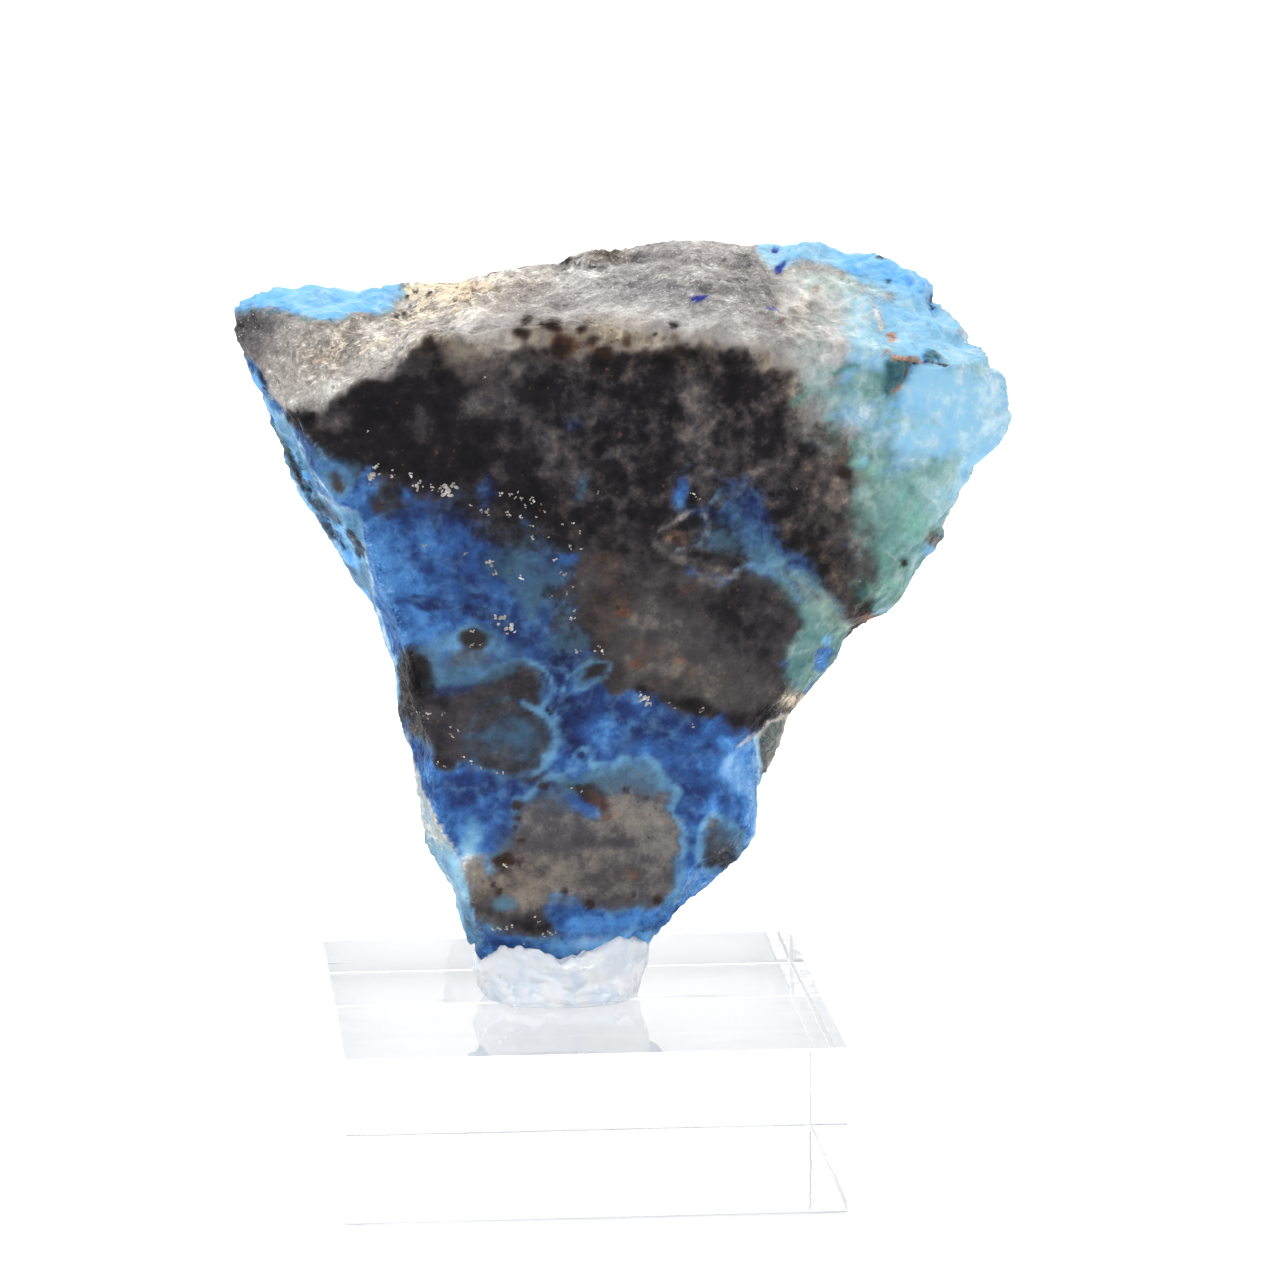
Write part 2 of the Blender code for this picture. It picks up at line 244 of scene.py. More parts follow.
# grooves on the seen side: drawing grid line, half width (mm), depth (mm)
GROOVES = [
    ([(887, 358), (900, 361), (919, 362)], 0.30, 0.40),
    ([(923, 361), (935, 363), (948, 364)], 0.26, 0.34),
    ([(918, 363), (910, 374), (903, 387), (896, 394)], 0.28, 0.30),
    ([(889, 366), (890, 380), (893, 394)], 0.40, 0.22),
    ([(851, 366), (866, 369)], 0.22, 0.14),
    ([(929, 294), (931, 304), (936, 314)], 0.24, 0.30),
    ([(556, 264), (572, 266), (588, 267), (604, 269)], 0.30, 0.40),
    ([(606, 262), (650, 259), (700, 262), (740, 268)], 0.28, 0.22),
    ([(640, 286), (690, 288), (735, 292), (760, 304)], 0.30, 0.22),
    ([(470, 300), (500, 296), (540, 300)], 0.35, 0.18),
    ([(245, 361), (262, 377), (265, 393), (275, 404)], 0.22, 0.26),
    ([(283, 440), (300, 472), (318, 506), (338, 536), (358, 556)], 0.30, 0.26),
    ([(289, 436), (303, 468), (322, 496)], 0.22, 0.18),
    ([(763, 727), (759, 745), (759, 779)], 0.26, 0.30),
    ([(744, 742), (740, 770), (746, 800)], 0.40, 0.16),
    ([(903, 560), (903, 562)], 0.28, 0.25),
    ([(493, 868), (505, 862), (514, 868), (508, 877), (496, 876)], 0.22, 0.16),
]

# The smooth front face: its upper ridge, then its right, lower and left rims.
FRONT_FACE = [
    (286, 414), (318, 408), (335, 394), (350, 385), (380, 374), (399, 362),
    (405, 350), (424, 338), (440, 332), (470, 327), (500, 320), (530, 322),
    (560, 320), (590, 322), (620, 318), (650, 322), (680, 318), (706, 326),
    (740, 338), (773, 345), (800, 352), (830, 350), (880, 358), (921, 358),
    (958, 357), (990, 362), (1016, 400), (1016, 430), (980, 470), (950, 530),
    (910, 600), (850, 645), (784, 714), (766, 723), (761, 735), (757, 800),
    (752, 830), (700, 890), (655, 945), (600, 980), (490, 980), (482, 956),
    (476, 935), (470, 897), (461, 862), (447, 839), (429, 803), (417, 771),
    (408, 742), (400, 700), (394, 660), (376, 619), (372, 594), (365, 564),
    (362, 533), (361, 513), (347, 512), (323, 496), (307, 470), (292, 427),
]


# how high the gel climbs the stone from side to side (x and height over the block, mm)
GEL_TOP = ([-6.5, -6.0, -5.4, -4.7, -3.7, -2.7, -1.3, 0.3, 1.8, 3.3, 4.3],
           [1.9, 2.7, 3.25, 3.7, 3.95, 3.85, 3.2, 3.7, 4.05, 4.2, 4.0])


def inside(px, py, shape):
    """Signed distance in mm from drawing points to a closed shape, + inside."""
    shape = np.asarray(shape, float)
    best = np.full(px.shape, 1e9)
    odd = np.zeros(px.shape, bool)
    for (ax, ay), (bx, by) in zip(shape, np.roll(shape, -1, axis=0)):
        ex, ey = bx - ax, by - ay
        wx, wy = px - ax, py - ay
        t = np.clip((wx * ex + wy * ey) / (ex * ex + ey * ey + 1e-12), 0, 1)
        dx, dy = wx - t * ex, wy - t * ey
        best = np.minimum(best, dx * dx + dy * dy)
        cross = (ay > py) != (by > py)
        if ay != by:
            odd ^= cross & (px < (py - ay) * ex / (by - ay) + ax)
    return np.where(odd, 1.0, -1.0) * np.sqrt(best) * PX


def along(px, py, line):
    """Distance in mm to an open line of drawing points."""
    line = np.asarray(line, float)
    best = np.full(px.shape, 1e9)
    for (ax, ay), (bx, by) in zip(line[:-1], line[1:]):
        ex, ey = bx - ax, by - ay
        wx, wy = px - ax, py - ay
        t = np.clip((wx * ex + wy * ey) / (ex * ex + ey * ey + 1e-12), 0, 1)
        dx, dy = wx - t * ex, wy - t * ey
        best = np.minimum(best, dx * dx + dy * dy)
    return np.sqrt(best) * PX


def ray_radii(outline, steps):
    """Distance from OUTLINE_CENTRE to the outline at evenly spaced angles."""
    shape = np.asarray(outline, float) - OUTLINE_CENTRE
    angle = 2 * np.pi * np.arange(steps) / steps
    dx, dy = np.cos(angle), np.sin(angle)
    best = np.zeros(steps)
    for (ax, ay), (bx, by) in zip(shape, np.roll(shape, -1, axis=0)):
        ex, ey = bx - ax, by - ay
        det = ex * dy - ey * dx
        det = np.where(np.abs(det) < 1e-9, 1e-9, det)
        t = (ax * ey - ay * ex) / -det
        s = (ax * dy - ay * dx) / -det
        hit = (s >= 0) & (s <= 1) & (t > best)
        best = np.where(hit, t, best)
    return best


def blur_ring(values, width):
    reach = int(3 * width) + 1
    taps = np.exp(-0.5 * (np.arange(-reach, reach + 1) / width) ** 2)
    taps /= taps.sum()
    return sum(w * np.roll(values, k) for k, w in zip(range(-reach, reach + 1), taps))


def fit_to_outline(co, steps, blur, depth_reach, inner):
    """Eases the points in or out in the front view until their edge is the outline."""
    target = ray_radii(OUTLINE, steps)
    gx, gy = drawn(co)
    front = -co[:, 1]
    dx, dy = gx - OUTLINE_CENTRE[0], gy - OUTLINE_CENTRE[1]
    radius = np.hypot(dx, dy)
    angle = np.arctan2(dy, dx) % (2 * np.pi)
    slot = angle / (2 * np.pi) * steps
    low = np.floor(slot).astype(int) % steps
    high = (low + 1) % steps
    reached = np.zeros(steps)
    np.maximum.at(reached, low, radius)
    np.maximum.at(reached, high, radius)
    edge = radius > 0.985 * np.minimum(reached[low], reached[high])
    depth_sum = np.bincount(low[edge], front[edge], steps)
    depth_count = np.bincount(low[edge], minlength=steps)
    rim_depth = blur_ring(depth_sum, 2) / np.maximum(blur_ring(depth_count.astype(float), 2), 1e-6)
    change = target / reached - 1.0
    if blur:
        change = blur_ring(change, blur)
    mix = slot - np.floor(slot)
    amount = change[low] * (1 - mix) + change[high] * mix
    now = reached[low] * (1 - mix) + reached[high] * mix
    weight = smooth_step(inner, 0.985, radius / now)
    if depth_reach:
        away = (front - (rim_depth[low] * (1 - mix) + rim_depth[high] * mix)) / depth_reach
        weight = weight * np.exp(-away * away)
    factor = 1.0 + amount * weight
    return at(OUTLINE_CENTRE[0] + dx * factor, OUTLINE_CENTRE[1] + dy * factor, front)


def normals_of(co, tri):
    n = np.cross(co[tri[:, 1]] - co[tri[:, 0]], co[tri[:, 2]] - co[tri[:, 0]])
    out = np.zeros_like(co)
    for k in range(3):
        np.add.at(out, tri[:, k], n)
    return out / np.maximum(np.linalg.norm(out, axis=1, keepdims=True), 1e-12)


def stone_block():
    """The rough block: the hull of its corners, with the flat breaks cut off."""
    bm = bmesh.new()
    for gx, gy, front in FRONT_RIM + OUTER_RIM + BACK:
        bm.verts.new(at(gx, gy, front) * MM)
    hull = bmesh.ops.convex_hull(bm, input=list(bm.verts))
    spare = {e for e in hull["geom_interior"] + hull["geom_unused"]
             if isinstance(e, bmesh.types.BMVert)}
    bmesh.ops.delete(bm, geom=list(spare), context="VERTS")
    for place, (right, up, front) in BREAKS:
        normal = RIGHT * right + UP * up - FORWARD * front
        cut = bmesh.ops.bisect_plane(
            bm, geom=bm.verts[:] + bm.edges[:] + bm.faces[:],
            plane_co=at(*place) * MM, plane_no=normal, clear_outer=True)
        rim = [e for e in cut["geom_cut"] if isinstance(e, bmesh.types.BMEdge)]
        bmesh.ops.edgeloop_fill(bm, edges=rim)
    bmesh.ops.recalc_face_normals(bm, faces=bm.faces)
    mesh = bpy.data.meshes.new("rough_block")
    bm.to_mesh(mesh)
    bm.free()
    obj = bpy.data.objects.new("rough_block", mesh)
    bpy.context.scene.collection.objects.link(obj)
    remesh = obj.modifiers.new("facets", "REMESH")
    remesh.mode = "VOXEL"
    remesh.voxel_size = STONE_VOXEL * MM
    fine = bpy.data.meshes.new_from_object(
        obj.evaluated_get(bpy.context.evaluated_depsgraph_get()))
    bpy.data.objects.remove(obj)
    bpy.data.meshes.remove(mesh)
    return fine


def smoothed(co, edges, weight, rounds):
    """Laplacian smoothing of the points, each by its own weight."""
    count = np.bincount(edges.ravel(), minlength=len(co))[:, None]
    for _ in range(rounds):
        total = np.zeros_like(co)
        np.add.at(total, edges[:, 0], co[edges[:, 1]])
        np.add.at(total, edges[:, 1], co[edges[:, 0]])
        co = co + (total / np.maximum(count, 1) - co) * weight[:, None]
    return co


def shape_stone():
    mesh = stone_block()
    count = len(mesh.vertices)
    co = np.empty(count * 3)
    mesh.vertices.foreach_get("co", co)
    co = co.reshape(-1, 3) / MM
    edges = np.empty(len(mesh.edges) * 2, np.int64)
    mesh.edges.foreach_get("vertices", edges)
    edges = edges.reshape(-1, 2)
    mesh.calc_loop_triangles()
    tri = np.empty(len(mesh.loop_triangles) * 3, np.int64)
    mesh.loop_triangles.foreach_get("vertices", tri)
    tri = tri.reshape(-1, 3)

    normal = normals_of(co, tri)
    gx, gy = drawn(co)
    to_eye = EYE - co
    to_eye /= np.linalg.norm(to_eye, axis=1, keepdims=True)
    facing = (normal * to_eye).sum(1)
    on_front = (smooth_step(-0.5, 0.35, inside(gx, gy, FRONT_FACE))
                * smooth_step(0.35, 0.7, facing))
    co = smoothed(co, edges, 0.6 * on_front, 60)
    normal = normals_of(co, tri)

    for place, radius, bite in HOLLOWS:
        reach = np.linalg.norm(co - at(*place), axis=1) / radius
        co = co - normal * (bite * smooth_step(1.0, 0.35, reach))[:, None]

    rough = 1.0 - on_front
    # fracture relief: broad planes, then smaller chips, then a sugary grain
    p = co + 0.9 * np.stack([cloud(co, 0.21, s) for s in (1, 2, 3)], 1)
    relief = (0.78 * facets(p, 0.20, 3) + 0.42 * facets(p, 0.47, 5)
              + 0.20 * facets(p, 1.05, 7) + 0.10 * facets(p, 2.3, 8))
    near, second, tag = cells(p, 0.62, 4)
    relief += 0.16 * tag * smooth_step(0.0, 0.25, second - near)
    near, second, tag = cells(p, 1.9, 6)
    grain = 0.055 * tag * smooth_step(0.0, 0.3, second - near)
    smooth_relief = 0.07 * cloud(co, 0.16, 21, 2) + 0.018 * cloud(co, 1.3, 22, 2)
    height = relief * rough + grain * rough + smooth_relief * (1 - rough)
    co = co + normal * height[:, None]

    co = fit_to_outline(co, 180, 3, 0, 0.55)
    for _ in range(5):
        co = fit_to_outline(co, 540, 0.8, 4.0, 0.86)

    # notch and crack at the right, the step on the top, seams of the lower breaks
    normal = normals_of(co, tri)
    gx, gy = drawn(co)
    to_eye = EYE - co
    to_eye /= np.linalg.norm(to_eye, axis=1, keepdims=True)
    seen = smooth_step(0.0, 0.2, (normal * to_eye).sum(1))
    for line, width, depth in GROOVES:
        reach = along(gx, gy, line) / width
        co = co - normal * (depth * seen * np.exp(-reach * reach))[:, None]

    mesh.vertices.foreach_set("co", (co * MM).ravel())
    mesh.update()
    return mesh, co, tri, rough


def add_material(name, build):
    mat = bpy.data.materials.new(name)
    mat.use_nodes = True
    build(mat.node_tree)
    return mat


# ---- mineral zones -----------------------------------------------------------------
class Paint:
    """Weights of the minerals at each point of the stone, and how light each is.

    Zones are laid out on the drawing grid; on the sides that can't be seen from
    the front the same zones carry on through the stone, drifting with depth.
    """

    KINDS = ("azurite", "tenorite", "clay", "quartz", "sky", "teal", "veil",
             "indigo", "rust", "ink", "mint")

    def __init__(self, co, facing):
        self.co = co
        seen = smooth_step(-0.30, 0.0, facing)
        gx, gy = drawn(co)
        drift = 70.0 * (1.0 - seen)
        self.seen = seen
        self.x = gx + drift * 1.3 * cloud(co, 0.11, 61) + 3.2 * cloud(co, 0.9, 63, 2)
        self.y = gy + drift * cloud(co, 0.12, 62) + 3.2 * cloud(co, 0.9, 64, 2)
        self.rough_edge = (0.5 * cloud(co, 0.42, 65) + 0.42 * cloud(co, 1.0, 68)
                           + 0.34 * cloud(co, 2.3, 66))
        self.fine_edge = cloud(co, 2.6, 67)
        self.weight = {kind: np.zeros(len(co)) for kind in self.KINDS}
        self.weight["azurite"][:] = 1.0
        self.tone = np.full(len(co), 0.4)
        self.warm = np.zeros(len(co))
        self.mottle = np.full(len(co), 0.44)
        self.calm = np.zeros(len(co))

    def _near(self, points, margin):
        pts = np.asarray(points, float)
        low, high = pts.min(0) - margin, pts.max(0) + margin
        return np.nonzero((self.x > low[0]) & (self.x < high[0])
                          & (self.y > low[1]) & (self.y < high[1]))[0]

    def area(self, points, soft=0.3, wobble=0.3, grow=0.0):
        """A closed shape's cover; soft, wobble and grow are in mm."""
        out = np.zeros(len(self.co))
        k = self._near(points, (soft + wobble + abs(grow)) / PX + 4)
        d = inside(self.x[k], self.y[k], points) + grow + wobble * self.rough_edge[k]
        out[k] = smooth_step(-soft, soft, d)
        return out

    def spot(self, x, y, rx, ry=None, turn=0.0, soft=0.35, wobble=0.35):
        """An oval's cover; radii in grid units, soft and wobble as shares of them."""
        ry = rx if ry is None else ry
        out = np.zeros(len(self.co))
        k = self._near([(x, y)], max(rx, ry) * (1.2 + soft + wobble) + 2)
        c, s = math.cos(math.radians(turn)), math.sin(math.radians(turn))
        dx, dy = self.x[k] - x, self.y[k] - y
        u, v = (dx * c + dy * s) / rx, (-dx * s + dy * c) / ry
        d = 1.0 - np.hypot(u, v) + wobble * self.rough_edge[k]
        out[k] = smooth_step(-soft, soft, d)
        return out

    def line(self, points, width, soft=1.5, wobble=1.0):
        """A stroke's cover; width, soft and wobble in grid units."""
        out = np.zeros(len(self.co))
        k = self._near(points, width + soft + wobble + 4)
        d = along(self.x[k], self.y[k], points) / PX + wobble * self.fine_edge[k]
        out[k] = smooth_step(width / 2 + soft, width / 2 - soft, d)
        return out

    def put(self, kind, cover, tone=None, amount=1.0):
        cover = np.clip(cover, 0, 1) * amount
        for name, values in self.weight.items():
            if name == kind:
                values[:] = values + (1 - values) * cover
            else:
                values *= 1 - cover
        if tone is not None:
            self.shade(cover, tone)

    def blend(self, values, cover, value, amount=1.0):
        cover = np.clip(cover, 0, 1) * amount
        values[:] = values * (1 - cover) + value * cover

    def shade(self, cover, tone, amount=1.0):
        cover = np.clip(cover, 0, 1) * amount
        self.tone[:] = self.tone * (1 - cover) + tone * cover


def paint_zones(co, facing):
    p = Paint(co, facing)
    big = cloud(co, 0.28, 71, 2)
    mid = cloud(co, 0.75, 72, 3)
    small = cloud(co, 1.9, 73, 2)
    warp = co + 1.1 * np.stack([cloud(co, 0.45, s, 2) for s in (74, 75, 76)], 1)
    wisps = 1.0 - 2.2 * np.abs(cloud(warp, 0.5, 77, 2))
    front = smooth_step(-0.3, 0.4, inside(p.x, p.y, FRONT_FACE)) * smooth_step(0.3, 0.55, facing)

    # azurite: the blue ground, clouded
    p.tone[:] = 0.36 + 0.13 * big + 0.16 * mid + 0.09 * wisps + 0.05 * small
    for x, y, rx, ry, turn, tone, amount in (
            (385, 556, 24, 16, 20, 0.58, 0.7), (412, 585, 16, 22, -30, 0.66, 0.6),
            (400, 620, 44, 30, 10, 0.64, 0.85), (376, 580, 12, 40, -15, 0.64, 0.6),
            (430, 518, 38, 14, 0, 0.16, 0.75), (455, 512, 22, 10, 0, 0.10, 0.7),
            (470, 575, 40, 26, 0, 0.26, 0.6), (445, 632, 50, 14, 5, 0.52, 0.6),
            (516, 636, 26, 24, 0, 0.18, 0.7), (545, 680, 26, 34, 0, 0.20, 0.6), (565, 700, 24, 34, 0, 0.06, 0.85), (565, 664, 24, 18, 0, 0.08, 0.8),
            (430, 605, 26, 7, 12, 0.06, 0.85), (472, 612, 26, 6, 12, 0.04, 0.85),
            (598, 712, 40, 18, 8, 0.12, 0.8), (655, 730, 28, 16, 0, 0.06, 0.8),
            (604, 735, 24, 18, 0, 0.58, 0.7), (600, 772, 30, 12, 0, 0.55, 0.4),
            (690, 785, 26, 30, 0, 0.24, 0.7), (700, 745, 34, 18, 0, 0.30, 0.5),
            (462, 788, 42, 13, 8, 0.16, 0.75), (440, 806, 18, 26, -20, 0.64, 0.6), (463, 800, 14, 9, 0, 0.04, 0.7),
            (430, 772, 14, 12, 0, 0.70, 0.6), (470, 825, 36, 20, 0, 0.46, 0.5),
            (500, 835, 18, 26, 0, 0.36, 0.5), (620, 932, 74, 20, -6, 0.62, 0.9),
            (570, 940, 30, 14, 0, 0.68, 0.8), (700, 885, 30, 18, -30, 0.74, 0.9),
            (735, 858, 16, 16, 0, 0.72, 0.7), (360, 478, 20, 26, -20, 0.52, 0.6),
            (345, 465, 18, 12, 30, 0.56, 0.5), (510, 585, 26, 22, 0, 0.50, 0.5),
            (640, 770, 18, 10, 0, 0.50, 0.4), (735, 840, 10, 26, 0, 0.74, 0.5)):
        p.shade(p.spot(x, y, rx, ry, turn, 0.75 if x % 2 else 0.36, 0.6), tone, amount)
    p.tone[:] += 0.05 * wisps + 0.04 * mid

    # pale blue clouds over the ground
    for x, y, rx, ry, turn, tone, amount in (
            (434, 652, 22, 12, -25, 0.46, 0.7), (455, 668, 26, 8, -25, 0.40, 0.6),
            (495, 650, 34, 12, 10, 0.45, 0.6), (470, 838, 13, 22, 0, 0.58, 0.8),
            (476, 872, 12, 16, 20, 0.88, 0.8), (468, 858, 10, 18, 20, 0.90, 0.8),
            (560, 800, 20, 30, -20, 0.30, 0.55), (536, 560, 26, 34, 0, 0.25, 0.4),
            (596, 655, 14, 10, 0, 0.20, 0.4), (625, 745, 16, 12, 0, 0.3, 0.3)):
        p.put("veil", p.spot(x, y, rx, ry, turn, 0.8, 0.6), tone, amount)

    p.put("quartz", p.area([(200, 200), (1060, 200), (1060, 360), (830, 380), (800, 440),
                            (640, 430), (440, 430), (330, 425), (290, 418), (262, 396),
                            (248, 364), (225, 352)], 0.5, 0.3), 0.70 + 0.2 * mid)

    # chrysocolla: light blue to green on the right of the smooth face
    right = p.area([(796, 330), (820, 300), (900, 240), (1040, 300), (1040, 480),
                    (960, 540), (930, 600), (872, 660), (862, 622), (868, 590), (858, 560),
                    (852, 520), (848, 480), (826, 452), (806, 420), (796, 392)],
                   soft=1.3, wobble=1.4)
    p.put("sky", right, 0.60 + 0.12 * mid + 0.06 * small)
    green = p.area([(800, 430), (830, 396), (880, 380), (905, 400), (880, 430),
                    (905, 450), (940, 452), (965, 480), (944, 530), (915, 600),
                    (860, 640), (845, 560), (838, 480), (815, 452)], soft=1.1, wobble=1.1)
    p.put("teal", green, 0.46 + 0.18 * mid + 0.06 * small, 0.94)
    for kind, x, y, rx, ry, turn, tone, amount in (
            ("teal", 880, 394, 16, 14, 0, 0.12, 0.6), ("teal", 850, 385, 34, 14, -12, 0.30, 0.6),
            ("sky", 930, 385, 26, 22, 0, 0.66, 0.9), ("sky", 900, 335, 32, 22, 0, 0.62, 0.8),
            ("sky", 860, 330, 22, 24, 0, 0.80, 0.8), ("sky", 930, 435, 40, 26, -20, 0.74, 0.8),
            ("sky", 985, 400, 26, 34, 0, 0.90, 0.8), ("sky", 965, 350, 20, 12, 0, 0.60, 0.5),
            ("teal", 965, 365, 22, 10, 15, 0.66, 0.6), ("veil", 856, 424, 26, 18, 10, 0.80, 0.85),
            ("veil", 880, 446, 20, 12, -20, 0.70, 0.6), ("veil", 905, 470, 30, 10, -20, 0.72, 0.5),
            ("teal", 912, 532, 14, 22, 10, 0.34, 0.8), ("teal", 900, 520, 30, 34, 0, 0.50, 0.6),
            ("teal", 889, 587, 8, 9, 0, 0.30, 0.9), ("teal", 876, 560, 18, 22, 0, 0.36, 0.5),
            ("sky", 951, 480, 16, 22, 20, 0.92, 0.5), ("sky", 1000, 430, 16, 26, 0, 0.98, 0.6)):
        p.put(kind, p.spot(x, y, rx, ry, turn, 0.8, 0.6), tone + 0.06 * mid, amount)
    swirl = co + 1.6 * np.stack([cloud(co, 0.30, k, 2) for k in (31, 32, 33)], 1)
    for kind, scale, seed, low, tone, amount in (
            ("sky", 0.42, 34, 0.05, 0.86, 0.45), ("veil", 0.60, 35, 0.14, 0.88, 0.35),
            ("teal", 0.38, 36, 0.10, 0.30, 0.40), ("quartz", 0.75, 37, 0.18, 0.74, 0.35)):
        mist = smooth_step(low, low + 0.35, cloud(swirl, scale, seed, 3))
        p.put(kind, right * mist * (green if kind == "teal" else 1.0), tone, amount)
    p.blend(p.mottle, right, 0.58)
    p.put("quartz", p.spot(932, 590, 60, 12, -58, 0.8, 0.5), 0.72, 0.55)
    p.put("quartz", p.spot(958, 332, 12, 14, 30, 0.7, 0.4), 0.93, 0.7)
    for kind, x, y, rx, ry, turn, tone, amount in (
            ("teal", 866, 452, 26, 20, 20, 0.36, 0.75), ("teal", 840, 424, 24, 18, 30, 0.42, 0.65),
            ("teal", 896, 510, 26, 34, 0, 0.40, 0.6), ("teal", 880, 548, 22, 34, 0, 0.30, 0.6),
            ("teal", 926, 500, 22, 30, 25, 0.66, 0.5), ("teal", 895, 425, 34, 12, -12, 0.72, 0.45),
            ("sky", 905, 400, 26, 14, -15, 0.50, 0.4), ("teal", 945, 470, 22, 14, -30, 0.80, 0.5),
            ("teal", 905, 575, 20, 14, -40, 0.70, 0.4), ("teal", 860, 332, 26, 22, 0, 0.86, 0.5),
            ("veil", 854, 418, 24, 13, 10, 0.88, 0.75), ("veil", 882, 436, 18, 9, -20, 0.84, 0.55),
            ("veil", 900, 462, 22, 8, -20, 0.80, 0.4)):
        p.put(kind, p.spot(x, y, rx, ry, turn, 0.95, 0.8), tone + 0.05 * mid, amount)

    # the rough top: sugary quartz, then the blue crusts on it
    top = smooth_step(0.12, -0.12, inside(p.x, p.y, FRONT_FACE)) * smooth_step(
        0.5, -0.5, inside(p.x, p.y, [(200, 352), (251, 364), (262, 378), (266, 396), (286, 413),
                                     (300, 470), (400, 800), (470, 980), (700, 1000), (800, 720),
                                     (1040, 480), (1040, 380), (930, 330), (870, 300), (1100, 290),
                                     (1100, 1200), (100, 1200), (100, 352)]))
    ridge_band = p.area([(286, 402), (318, 398), (345, 380), (365, 366), (396, 352), (418, 336),
                         (440, 322), (470, 314), (500, 306), (560, 300), (640, 300), (706, 306),
                         (760, 322), (800, 328), (818, 345), (812, 385), (808, 415), (800, 412),
                         (795, 392), (788, 376), (770, 364), (742, 354), (700, 350), (670, 342),
                         (640, 346), (600, 346), (560, 338), (520, 346), (482, 356), (455, 350),
                         (446, 336), (424, 338), (412, 352), (399, 366), (380, 376), (356, 380),
                         (344, 396), (318, 412), (290, 412)], 0.7, 0.9)
    upper = smooth_step(352, 340, p.y + 0.0 * p.x) * smooth_step(330, 270, p.y + 0.32 * (p.x - 640).clip(-400, 0) * -0.2)
    p.put("quartz", np.maximum(ridge_band, np.clip(top, 0, 1)
                               * p.area([(225, 240), (1000, 220), (900, 300), (840, 330),
                                         (830, 350), (700, 352), (560, 350), (440, 345),
                                         (400, 372), (340, 410), (290, 420), (262, 395),
                                         (250, 364), (225, 350)], 0.4, 0.3)),
          0.60 + 0.08 * big + 0.14 * mid + 0.07 * small)
    for kind, x, y, rx, ry, turn, tone, amount in (
            ("quartz", 252, 336, 24, 30, 0, 0.06, 0.92), ("quartz", 285, 345, 26, 26, 0, 0.50, 0.6),
            ("clay", 330, 350, 60, 28, -8, 0.95, 0.6), ("clay", 380, 345, 50, 20, -18, 0.97, 0.6),
            ("clay", 300, 390, 36, 16, -20, 0.95, 0.4), ("quartz", 297, 391, 24, 10, -20, 0.90, 0.5), ("clay", 445, 292, 48, 16, -5, 1.04, 0.95),
            ("rust", 470, 288, 24, 9, -20, 1.0, 0.22), ("clay", 424, 285, 42, 7, -5, 1.15, 0.7), ("clay", 430, 312, 50, 14, -10, 0.98, 0.6),
            ("quartz", 548, 292, 34, 14, 0, 0.50, 0.6), ("quartz", 528, 285, 10, 6, 0, 0.34, 0.5),
            ("quartz", 655, 292, 44, 16, 4, 0.40, 0.6), ("quartz", 600, 303, 34, 10, 0, 0.82, 0.6), ("quartz", 655, 301, 30, 9, 0, 0.42, 0.6), ("quartz", 715, 300, 26, 9, 0, 0.74, 0.5), ("quartz", 595, 270, 26, 7, 0, 0.86, 0.5),
            ("quartz", 560, 278, 34, 8, 0, 0.86, 0.5), ("quartz", 506, 271, 30, 8, -6, 1.0, 0.7), ("quartz", 690, 330, 14, 14, 0, 0.78, 0.7),
            ("quartz", 740, 332, 30, 9, 12, 0.84, 0.6), ("quartz", 650, 312, 50, 8, 0, 0.76, 0.6),
            ("quartz", 746, 262, 12, 8, -20, 0.10, 0.8), ("quartz", 752, 285, 18, 8, 10, 0.26, 0.6),
            ("quartz", 650, 258, 22, 5, 0, 0.25, 0.5), ("quartz", 616, 259, 18, 4, 0, 0.22, 0.6),
            ("quartz", 706, 286, 10, 6, 0, 0.12, 0.7), ("quartz", 762, 304, 18, 5, 5, 0.30, 0.7),
            ("clay", 664, 276, 20, 5, 20, 0.90, 0.6), ("clay", 730, 268, 12, 6, 0, 0.80, 0.5),
            ("quartz", 808, 350, 26, 60, 0, 0.60, 0.85), ("teal", 822, 384, 20, 40, 0, 0.62, 0.45),
            ("quartz", 830, 372, 22, 22, 20, 0.56, 0.5), ("veil", 852, 352, 26, 40, 0, 0.86, 0.4),
            ("quartz", 824, 338, 22, 14, 20, 0.72, 0.7),
            ("veil", 838, 335, 10, 12, 0, 0.92, 0.7), ("clay", 803, 305, 9, 9, 0, 0.90, 0.6),
            ("clay", 786, 326, 8, 8, 0, 0.80, 0.5), ("quartz", 820, 300, 26, 20, 0, 0.86, 0.7),
            ("teal", 826, 284, 30, 12, 0, 0.86, 0.6), ("clay", 612, 340, 18, 14, 0, 0.76, 0.75),
            ("clay", 575, 338, 14, 8, 0, 0.66, 0.5), ("clay", 470, 350, 30, 10, -8, 0.50, 0.6),
            ("clay", 607, 253, 14, 4, 0, 0.50, 0.9), ("ink", 565, 260, 6, 3, 10, 0.5, 0.9),
            ("quartz", 465, 328, 12, 8, 20, 0.98, 0.7), ("quartz", 500, 335, 30, 9, 0, 0.60, 0.5), ("quartz", 537, 330, 20, 10, 0, 0.30, 0.6)):
        p.put(kind, p.spot(x, y, rx, ry, turn, 0.8, 0.7) * smooth_step(440, 400, p.y),
              tone + 0.10 * mid + 0.05 * small, amount)
    p.put("ink", p.line([(560, 263), (575, 265), (590, 266), (603, 268)], 2.6, 1.5, 1), 0.6, 0.8)
    p.put("quartz", p.line([(690, 322), (712, 322), (735, 332)], 5, 3, 2), 0.95, 0.5)

